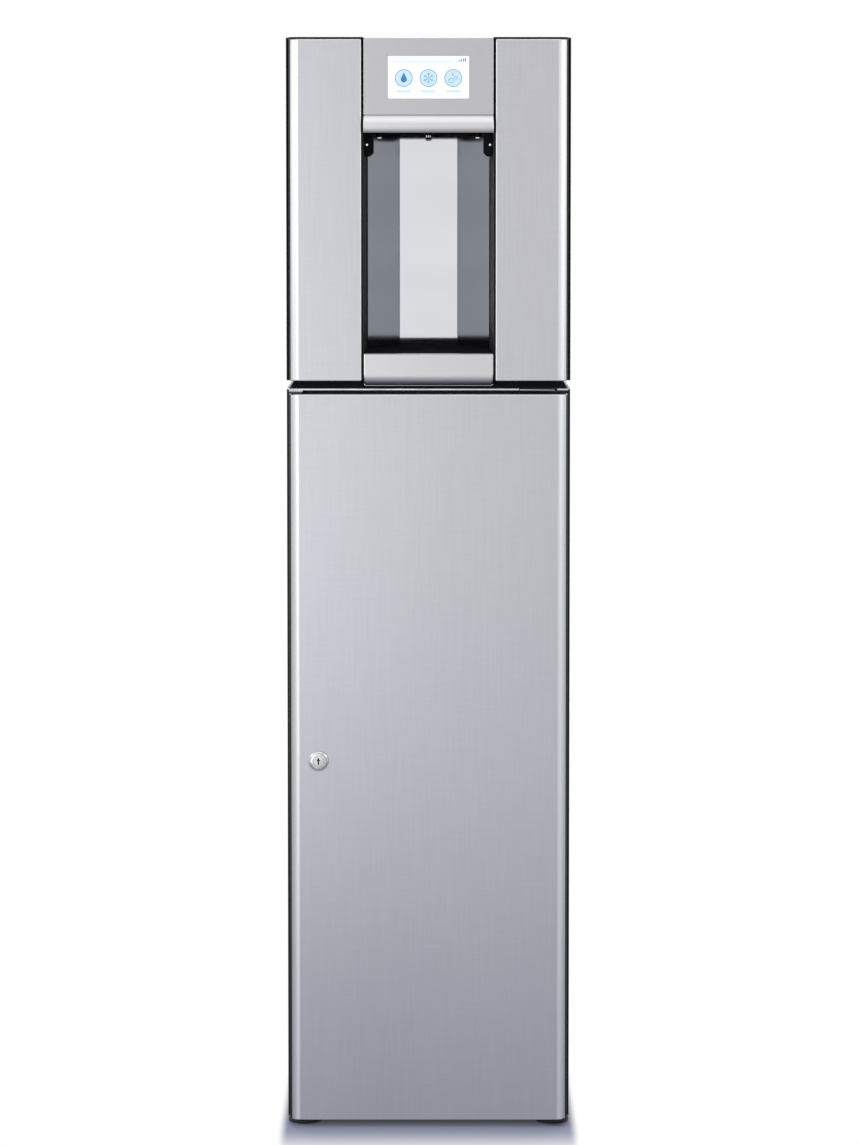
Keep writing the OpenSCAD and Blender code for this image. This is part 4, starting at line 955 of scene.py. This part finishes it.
def pods_and_lamps():
    """A sensor pod with its eye at each cheek, and two round lamps with a lens under the ceiling; the
    eyes glow as a painted glint, the lamp lenses with the lamps' own light.
    """
    low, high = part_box("lamps_and_sensors")
    wall_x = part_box("niche_cheek_right")[1].x - 0.0031
    near_x = wall_x - 0.0098
    pod_l, chamfer = 0.025, 0.004
    eye_x, eye_z = wall_x - 0.0021, low.z + 0.0138
    lamp_x, lamp_y = 0.059, middle_of("nozzles").y
    eye = [(0, -0.6), (0.7, -0.5), (1.2, -0.15), (1.35, 0.2), (0, 0.2)]
    rim = [(0, 0), (4.6, 0), (4.6, -4.2), (3.9, -4.9), (3.2, -4.9), (3.2, -4.0), (0, -4.0), (0, 0)]
    lens = [(0, -6.0), (1.2, -5.9), (2.3, -5.3), (3.0, -4.4), (3.0, -4.1), (0, -4.1)]
    dark, glowing = [], []
    for side in (-1, 1):
        outline = [(near_x, high.z), (wall_x, high.z), (wall_x, low.z), (near_x + chamfer, low.z),
                   (near_x, low.z + chamfer)]
        pod = prism([(side * x, z) for x, z in outline], "Y", low.y, low.y + pod_l)
        lamp = (side * lamp_x, lamp_y, high.z)
        dark += [ease(pod, 0.0006), lathe(rim, lamp, "Z", 32)]
        glowing += [lathe(eye, (side * eye_x, low.y, eye_z), steps=24), lathe(lens, lamp, "Z", 32)]
    stand_in("pods_and_lamps", merged(*dark), "lamps_and_sensors", material=DULL_BLACK)
    # The sensors' eyes glow as a painted glint; the lamp lenses glow with the lamps' own light
    piece("eye_glints_and_lamp_lenses", merged(*glowing), BODY_OF["lamps_and_sensors"], "display",
          material=lit("lens", (0.9, 0.95, 1), 0.9))


def nozzle_set():
    """Round holder under the niche's ceiling with three short spouts in it."""
    centre = middle_of("nozzles")
    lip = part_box("nozzle_carrier")[0].z
    spread = 0.0026
    holder = [(0, 14), (7.5, 14), (7.5, -0.4), (4.7, -0.8), (4.7, -1.9), (4.2, -2.4), (0, -2.4),
              (0, 14)]
    piece("nozzle_holder", lathe(holder, (centre.x, centre.y, lip), "Z", 48), BODY_OF["nozzles"],
          "black_gloss", material=DULL_BLACK)
    tube = [(0.9, -2.2), (1.4, -2.2), (1.4, -4.3), (1.2, -4.8), (1.0, -4.8), (0.9, -4.5), (0.9, -2.2)]
    spouts = [lathe(tube, (*place, lip), "Z", 24) for place in arc(centre, spread, -90, -330, 2)]
    stand_in("spouts", merged(*spouts), "nozzles")


# Lock: flange with its barrel and nut; plug with an arrow-shaped keyway; cam

def lock_flange():
    """Grooved flange before the door, barrel through it, and the nut behind."""
    barrel_end = (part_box("lock_body")[1].y - FACE) / MM
    profile = [(6.6, -5), (8.2, -5), (8.6, -4.85), (8.8, -4.4), (8.8, -2.3), (9.5, -2.3), (9.65, -2.9),
               (10.2, -3.2), (11, -3), (11.7, -2.2), (12, -1.2), (12, 0), (9.5, 0), (9.5, barrel_end),
               (6.6, barrel_end), (6.6, -5)]
    stand_in("lock_flange", lathe(profile, LOCK_FACE, steps=96), "lock_body")
    door_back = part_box("door_skin")[1].y
    nut = hexagonal((LOCK.x, LOCK.z), 0.022, "Y", door_back, door_back + 0.003, 0.0004, 30)
    piece("lock_nut", nut, "door", "zinc_steel", cuts=[lathe(rod(9.7, 10, 40), LOCK_FACE)])


def lock_core():
    """Plug with its keyway; a black lining in the keyway, a little larger so that it reaches into the
    metal around it, is painted shade.
    """
    cam_start = (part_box("lock_cam")[0].y - FACE) / MM
    tail_end = (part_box("lock_plug")[1].y - FACE) / MM
    arrow = [(0.0008, -0.0041), (0.0009, 0.0006), (0.0021, 0.0010), (0, 0.0044), (-0.0021, 0.0010),
             (-0.0009, 0.0006), (-0.0010, -0.0020), (-0.0005, -0.0041)]

    def keyhole(scale, front, back):
        outline = [(LOCK.x + scale * right, LOCK.z + scale * up) for right, up in arrow]
        return prism(outline, "Y", FACE - front, FACE - back)

    plug = [(0, -5), (6.1, -5), (6.45, -4.7), (6.5, -4.4), (6.5, cam_start), (4, cam_start),
            (4, tail_end), (0, tail_end)]
    stand_in("lock_core", lathe(plug, LOCK_FACE, steps=72), "lock_plug", cuts=[keyhole(1, 0.006, 0.001)])
    # Black lining inside the keyway: painted shade
    piece("keyway_painted_shade", keyhole(1.02, 0.0035, 0.0009), "lock", "black_plastic", material=MATT_BLACK)


def lock_cam():
    """Blade on the plug's tail, and the slotted screw that holds it."""
    low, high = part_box("lock_cam")
    x, z = LOCK.x, LOCK.z
    base = (x, low.y, z)
    half, thick = (high.x - low.x) / 2, 0.0025
    outline = arc((x, z), half, 0, 180, 16) + arc((x, low.z + half), half, 180, 360, 16)
    blade = ease(prism(outline, "Y", low.y, low.y + thick), 0.0003)
    tail = lathe(rod(4.05, -10, 2.52), base, steps=48)
    piece("cam_blade", blade, "lock", "zinc_steel", ("lock_cam",), cuts=[tail])
    head = [(0, 2.5), (4.75, 2.5), (4.75, 3.6), (4.2, 4.7), (2.6, 5.4), (0, 5.5), (0, 2.5)]
    slot_l, slot_w, slot_y = 0.006, 0.0006, low.y + 0.0043
    groove = block((x - slot_l, slot_y, z - slot_w), (x + slot_l, slot_y + 0.0037, z + slot_w))
    piece("cam_screw", lathe(head, base, steps=48), "lock", "zinc_steel", cuts=[groove])


# Small pieces on the casing: cap, bar and painted shadow over the door, screws on the back, feet

def end_cap():
    """Cap under the free end of the plate over the door, with a dark stop below it."""
    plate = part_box("cabinet_top")[0]
    x0 = plate.x + 0.0036
    x1 = x0 + 0.016
    front, back = FACE + 0.001, FACE + 0.021
    step = 0.0004
    stop_z = plate.z - 0.0015
    cap = block((x0, front, stop_z), (x1, back, plate.z))
    piece("end_cap", ease(cap, step), "casing", "zinc_steel")
    stop = block((x0 + step, front + step, stop_z - 0.0025), (x1 - step, back, stop_z))
    piece("end_stop", ease(stop, step), "casing", "black_plastic")


def hinge_painted_shadow():
    """Bar across the notch of the plate over the hinge, and a thin black sheet before and above it that
    is painted shadow.
    """
    x0, x1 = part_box("hinge_top")[0].x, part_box("hinge_top")[1].x - 0.015
    foot, top = (end.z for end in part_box("cabinet_top"))
    bar = block((x0 + 0.0008, FACE + 0.001, foot), (x1, FACE + 0.004, top))
    piece("hinge_bar", ease(bar, 0.0002), "casing", "zinc_steel")
    front, thick = FACE + 0.0001, 0.0008
    # A black sheet over the plate's edge and top: painted shadow
    tapered = [(x0, top), (x1, top), (x1, top - 0.0014), (x0, top - 0.0008)]
    upper = block((x0, front, top), (x1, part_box("plinth")[0].y, top + 0.0004))
    painted_shadow_sheet = merged(prism(tapered, "Y", front, front + thick), upper)
    piece("hinge_painted_shadow", painted_shadow_sheet, "casing", "black_plastic", material=MATT_BLACK)


def plus_sign(centre, arm, half):
    """Outline of a cross with arms of a length and a half width."""
    x, y = centre
    corner = ((half, arm), (half, half), (arm, half))
    signs = ((1, 1), (1, -1), (-1, -1), (-1, 1))
    points = []
    for i, (sx, sy) in enumerate(signs):
        quarter = corner if i % 2 == 0 else corner[::-1]
        points += [(x + sx * px, y + sy * py) for px, py in quarter]
    return points


def cross_screws(name, head, steps, places, arm, half, sunk, beyond):
    """Pan heads that face +Y, with a cross cut in them from sunk to beyond the sheet's face."""
    heads = [lathe(head, place, steps=steps) for place in places]
    cuts = [prism(plus_sign((x, z), arm, half), "Y", y + sunk, y + beyond) for x, y, z in places]
    piece(name, merged(*heads), "casing", "zinc_steel", cuts=[merged(*cuts)])


def back_screws():
    """Two rows of screws along the upright edges of each back panel."""
    edge_x, edge_z = 0.012, 0.014
    head = [(0, 0), (3.4, 0), (3.4, 0.4), (3.1, 1.0), (2.3, 1.6), (1.2, 1.9), (0, 2), (0, 0)]
    places = []
    for node, rows in (("cabinet_back", 5), ("head_back", 3)):
        low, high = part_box(node)
        pitch = (high.z - low.z - 2 * edge_z) / (rows - 1)
        places += [(x, high.y, low.z + edge_z + row * pitch)
                   for row in range(rows) for x in (low.x + edge_x, high.x - edge_x)]
    cross_screws("back_screws", head, 28, places, 0.0019, 0.00045, 0.0009, 0.003)


def feet():
    """Ribbed rubber pads on threaded studs."""
    pad = [(0, 0.3), (13, 0.3), (14, 0), (19.2, 0), (19.9, 0.6), (20, 1.6), (19.4, 2.0), (19.4, 2.4),
           (20, 2.8), (19.9, 3.7), (19.3, 4.4), (18, 5), (0, 5), (0, 0.3)]
    for node in [n for n in nodes if n.startswith("foot_")]:
        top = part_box(node)[1].z / MM
        centre = (*middle_of(node).xy, 0)
        stand_in(node + "_pad", lathe(pad, centre, "Z", 72), node)
        stud = ([(0, 4.9), (3.4, 4.9)] + threads(3.98, 5.2, top - 0.9)
                + [(3.0, top), (0, top), (0, 4.9)])
        piece(node + "_stud", lathe(stud, centre, "Z", 24), BODY_OF[node], "zinc_steel")


# Gas supply inside the cabinet: bottle with its valve, regulator with its gauge

def bottle():
    low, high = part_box("gas_cylinder")
    radius = (high.x - low.x) / 2 / MM
    height = (high.z - low.z) / MM
    neck = 15.5
    dome = height - 1 - radius
    foot = [(0, 5), (34, 3), (47, 0), (52, 0), (56, 2), (radius, 7), (radius, dome)]
    shoulder = arc((0, dome), radius, 5, 70, 13)
    collar = [(neck + 3, height - 3.4), (neck, height - 2.6), (neck, height), (0, height), (0, 5)]
    place = (*middle_of("gas_cylinder").xy, low.z)
    stand_in("bottle", lathe(foot + shoulder + collar, place, "Z", 96), "gas_cylinder")
    eased("cylinder_clamp", 0.0006)


def bottle_valve():
    """Upright body with a threaded outlet to the side, and the union nut on the outlet."""
    low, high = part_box("cylinder_valve")
    x, y = middle_of("gas_cylinder").xy
    outlet_z = middle_of("regulator_knob").z
    body = [(0, 0), (11.9, 0), (11.9, 3), (9.5, 4.5), (9.5, 9), (12, 11), (12, 37), (10.4, 39),
            (10.4, 41), (9, 42.5), (9, 47.8), (3.2, 47.8), (3.2, 36), (0, 36), (0, 0)]
    reach = (high.x - x) / MM
    outlet = ([(0, 9), (6.6, 9)] + threads(7.6, 12, reach - 12, 1.2)
              + [(6.4, reach), (0, reach), (0, 9)])
    parts = (lathe(body, (x, y, low.z), "Z", 48), lathe(outlet, (x, y, outlet_z), "X", 40))
    stand_in("bottle_valve", merged(*parts), "cylinder_valve")
    eased("valve_handwheel", 0.0009)
    union = hexagonal((y, outlet_z), 0.0235, "X", high.x - 0.011, high.x + 0.006, 0.0006)
    piece("union_nut", union, "casing", "brass")


def regulator():
    """Round body with an arm to either side and a hose barb on top, its bolts and its gauge."""
    low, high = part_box("regulator")
    knob = middle_of("regulator_knob")
    x, y, z = knob.x, (low.y + high.y) / 2, knob.z
    shell = [(0, -14.9), (9, -14.9), (10, -14), (10.5, -12), (18, -10.5), (19.6, -9.6), (19.8, -5.4),
             (21.6, -4.6), (21.9, -4), (21.9, 3), (21.6, 3.6), (19.8, 4.4), (19.6, 10), (17, 13),
             (12, 14.9), (0, 14.9), (0, -14.9)]
    gauge_arm = [(0, 18), (6, 18), (6, 22), (5, 23), (5, 38), (6, 39), (6, 41), (0, 41), (0, 18)]
    barb = [(0, 20), (6, 20), (6.4, 21), (6.4, 24.5), (4.4, 25.5)]
    for i in range(3):
        barb += [(4.9, 26.4 + 3 * i), (4.0, 29.0 + 3 * i)]
    barb += [(4.0, 36), (0, 36), (0, 20)]
    inlet_x = x + 0.0185
    parts = (lathe(shell, (x, y, z)), lathe(gauge_arm, (x, y, z), "X", 40),
             lathe(barb, (x, y, z), "Z", 40), lathe(rod(5, -40, -20), (inlet_x, y, z), "X", 24))
    stand_in("regulator_body", merged(*parts), "regulator")
    bolt_ring = arc((x, z), 0.0148, 30, 330, 5)
    bolts = [hexagonal(place, 0.0045, "Y", y - 0.0134, y - 0.0108, 0.0003) for place in bolt_ring]
    piece("regulator_bolts", merged(*bolts), "casing", "zinc_steel")
    gauge((high.x - 0.020, low.y + 0.003, z))
    eased("regulator_knob", 0.0008)


def gauge(centre):
    """Round case with a white dial, a scale of 21 marks and a hand; its front is at the centre's Y."""
    x, front, z = centre
    case = [(0, 20), (17, 20), (19.5, 18), (20, 16), (20, 1.2), (19.4, 0.2), (18.6, 0), (18.0, 0.5),
            (17.8, 2.2), (0, 2.2), (0, 20)]
    piece("gauge_case", lathe(case, centre, "Y", 72), "casing", "zinc_steel")
    piece("gauge_dial", lathe(washer(0, 17.8, 1.7, 2.3), centre), "casing", "white_plastic")
    outer = 0.0158
    marks = []
    for i in range(21):
        inner, half = (0.0122, 0.00035) if i % 5 == 0 else (0.0138, 0.0002)
        mark = turned_points([(inner, half), (outer, half), (outer, -half), (inner, -half)], (x, z),
                             225 - 13.5 * i)
        marks.append(prism(mark, "Y", front + 0.0015, front + 0.0018))
    hand = [(0.0135, 0), (0, 0.0009), (-0.004, 0.0006), (-0.004, -0.0006), (0, -0.0009)]
    marks.append(prism(turned_points(hand, (x, z), 118), "Y", front + 0.0009, front + 0.0013))
    hub = [(0, 0.7), (1.8, 0.7), (2, 1), (2, 1.8), (0, 1.8), (0, 0.7)]
    marks.append(lathe(hub, centre, "Y", 24))
    piece("gauge_marks", merged(*marks), "casing", "black_plastic")


# Water supply inside the cabinet: filter, shut-off valve, clips on the hoses

def cartridge():
    """Filter housing with a ribbed grip at its foot and a coloured band, under its head."""
    low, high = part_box("filter_cartridge")
    x, y = middle_of("filter_cartridge").xy
    radius = (high.x - low.x) / 2 / MM
    height = (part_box("filter_head")[0].z - low.z) / MM - 0.3
    neck = (high.z - low.z) / MM
    foot = [(0, 3), (26, 3), (30, 0), (34, 0), (38, 1.2), (radius - 1.6, 6), (radius - 1.2, 8),
            (radius - 1.2, 34), (radius - 0.2, 36), (radius, 38)]
    top = [(radius, height - 14), (radius - 1, height - 12.5), (radius - 1, height - 9.5),
           (radius, height - 8), (radius, height - 2), (radius - 2, height), (25, height),
           (25, neck - 3), (24, neck), (0, neck), (0, 3)]
    stand_in("cartridge_body", lathe(foot + top, (x, y, low.z), "Z", 96), "filter_cartridge")
    grip = prism(lobed((x, y), radius * MM, 0.0012, 30), "Z", low.z + 0.0085, low.z + 0.0335)
    piece("cartridge_grip", ease(grip, 0.0003, 1, 60), "cartridge", "white_plastic")
    band = washer(radius + 0.02, radius + 0.15, 150, 205)
    piece("cartridge_band", lathe(band, (x, y, low.z), "Z", 96), "cartridge", "blue_plastic")
    eased("filter_head", 0.0015, 3)


def inlet():
    """Threaded nipple through the back with its nut, and the shut-off valve upright on it."""
    eased("shutoff_lever", 0.0008)
    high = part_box("water_inlet")[1]
    x, y = middle_of("water_inlet").x, middle_of("filter_cartridge").y
    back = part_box("cabinet_back")[1].y
    pipe_z, stem_z = 0.110, 0.155
    proud = (high.y - back) / MM
    top = (high.z - pipe_z) / MM
    nipple = [(5.1, -44), (6.9, -44), (6.9, -10), (13.1, -10), (13.1, -1.6), (6.9, -1.6), (6.9, 0.2),
              (9.2, 0.2), (9.2, 5)]
    nipple += threads(9.9, 5.2, proud - 0.6, 1.4)
    nipple += [(8.7, proud), (8.3, proud), (8.3, 1.5), (5.1, 1.5), (5.1, -44)]
    valve = [(0, -13.1), (8, -13.1), (9.5, -12), (13, -9), (13.1, -4), (13.1, 4), (12, 10), (9.4, 14),
             (9.4, 26), (12.4, 30), (13.1, 34), (13.1, 54), (12.4, 58), (9, 60), (9, top - 3),
             (8.2, top), (0, top), (0, -13.1)]
    flats = hexagonal((x, y), 0.0215, "Z", pipe_z + 0.015, pipe_z + 0.0255, 0.0006)
    stem = [(0, -20), (5.4, -20), (5.8, -19.6), (5.8, -12), (7.2, -11), (7.2, 0), (0, 0), (0, -20)]
    parts = (lathe(nipple, (x, back, pipe_z)), lathe(valve, (x, y, pipe_z), "Z"), flats,
             lathe(stem, (x, y, stem_z), "Y", 6))
    stand_in("inlet_valve", merged(*parts), "water_inlet")
    nut = hexagonal((x, pipe_z), 0.0248, "Y", back + 0.0001, back + 0.0048, 0.0005)
    bore = lathe(rod(9.3, -20, 20), (x, back, pipe_z))
    piece("inlet_nut", nut, "casing", "brass", cuts=[bore])


def hose_clips():
    """Spring clips at the ends of the gas hose, the inlet's hose and the filter's hose."""
    clip = [(4.6, -3.5), (5.4, -3.5), (5.6, -3.2), (5.6, 3.2), (5.4, 3.5), (4.6, 3.5), (4.6, -3.5)]
    gas_x, gas_y = middle_of("regulator_knob").x, middle_of("regulator").y
    water_x, water_y = middle_of("water_inlet").x, middle_of("filter_cartridge").y
    head_low, head_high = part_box("filter_head")
    port = (head_high.x + 0.0045, water_y, head_low.z + 0.030)
    clips = (lathe(clip, (gas_x, gas_y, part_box("gas_hose")[0].z + 0.0062), "Z", 32),
             lathe(clip, (water_x, water_y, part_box("water_inlet")[1].z + 0.006), "Z", 32),
             lathe(clip, port, "X", 32))
    piece("hose_clips", merged(*clips), "casing", "zinc_steel")


def mains_inlet():
    """Appliance inlet on the back, held by two small screws."""
    eased("power_inlet", 0.0006)
    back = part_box("power_inlet")[1].y
    middle = middle_of("power_inlet")
    apart = 0.0262
    head = [(0, 0), (2.4, 0), (2.3, 0.5), (1.6, 0.95), (0, 1.1), (0, 0)]
    places = [(middle.x, back, middle.z + side * apart) for side in (-1, 1)]
    cross_screws("inlet_screws", head, 24, places, 0.0014, 0.00035, 0.0004, 0.002)


def casing():
    """The painted sheets with eased edges, and what is dull black or rubber around the door."""
    for node in ("cabinet_side_left", "cabinet_side_right", "cabinet_back", "cabinet_header",
                 "cabinet_top", "cabinet_floor", "head_side_left", "head_side_right", "head_back",
                 "top_cover"):
        eased(node)
    for node in ("hinge_top", "hinge_bottom"):
        eased(node, 0.0005, material=MATT_BLACK)
    eased("plinth", 0.0005, material=DULL_BLACK)
    eased("door_liner", 0.0003)
    eased("door_gasket", 0.0009, 3)


door_and_panels()
fascia_sheet()
tray_face()
display()
niche_walls()
pods_and_lamps()
nozzle_set()
lock_flange()
lock_core()
lock_cam()
casing()
end_cap()
hinge_painted_shadow()
back_screws()
feet()
bottle()
bottle_valve()
regulator()
cartridge()
inlet()
hose_clips()
mains_inlet()
set_camera()
set_world()
set_lights()
set_floor()

bpy.context.scene.view_settings.view_transform = "Standard"
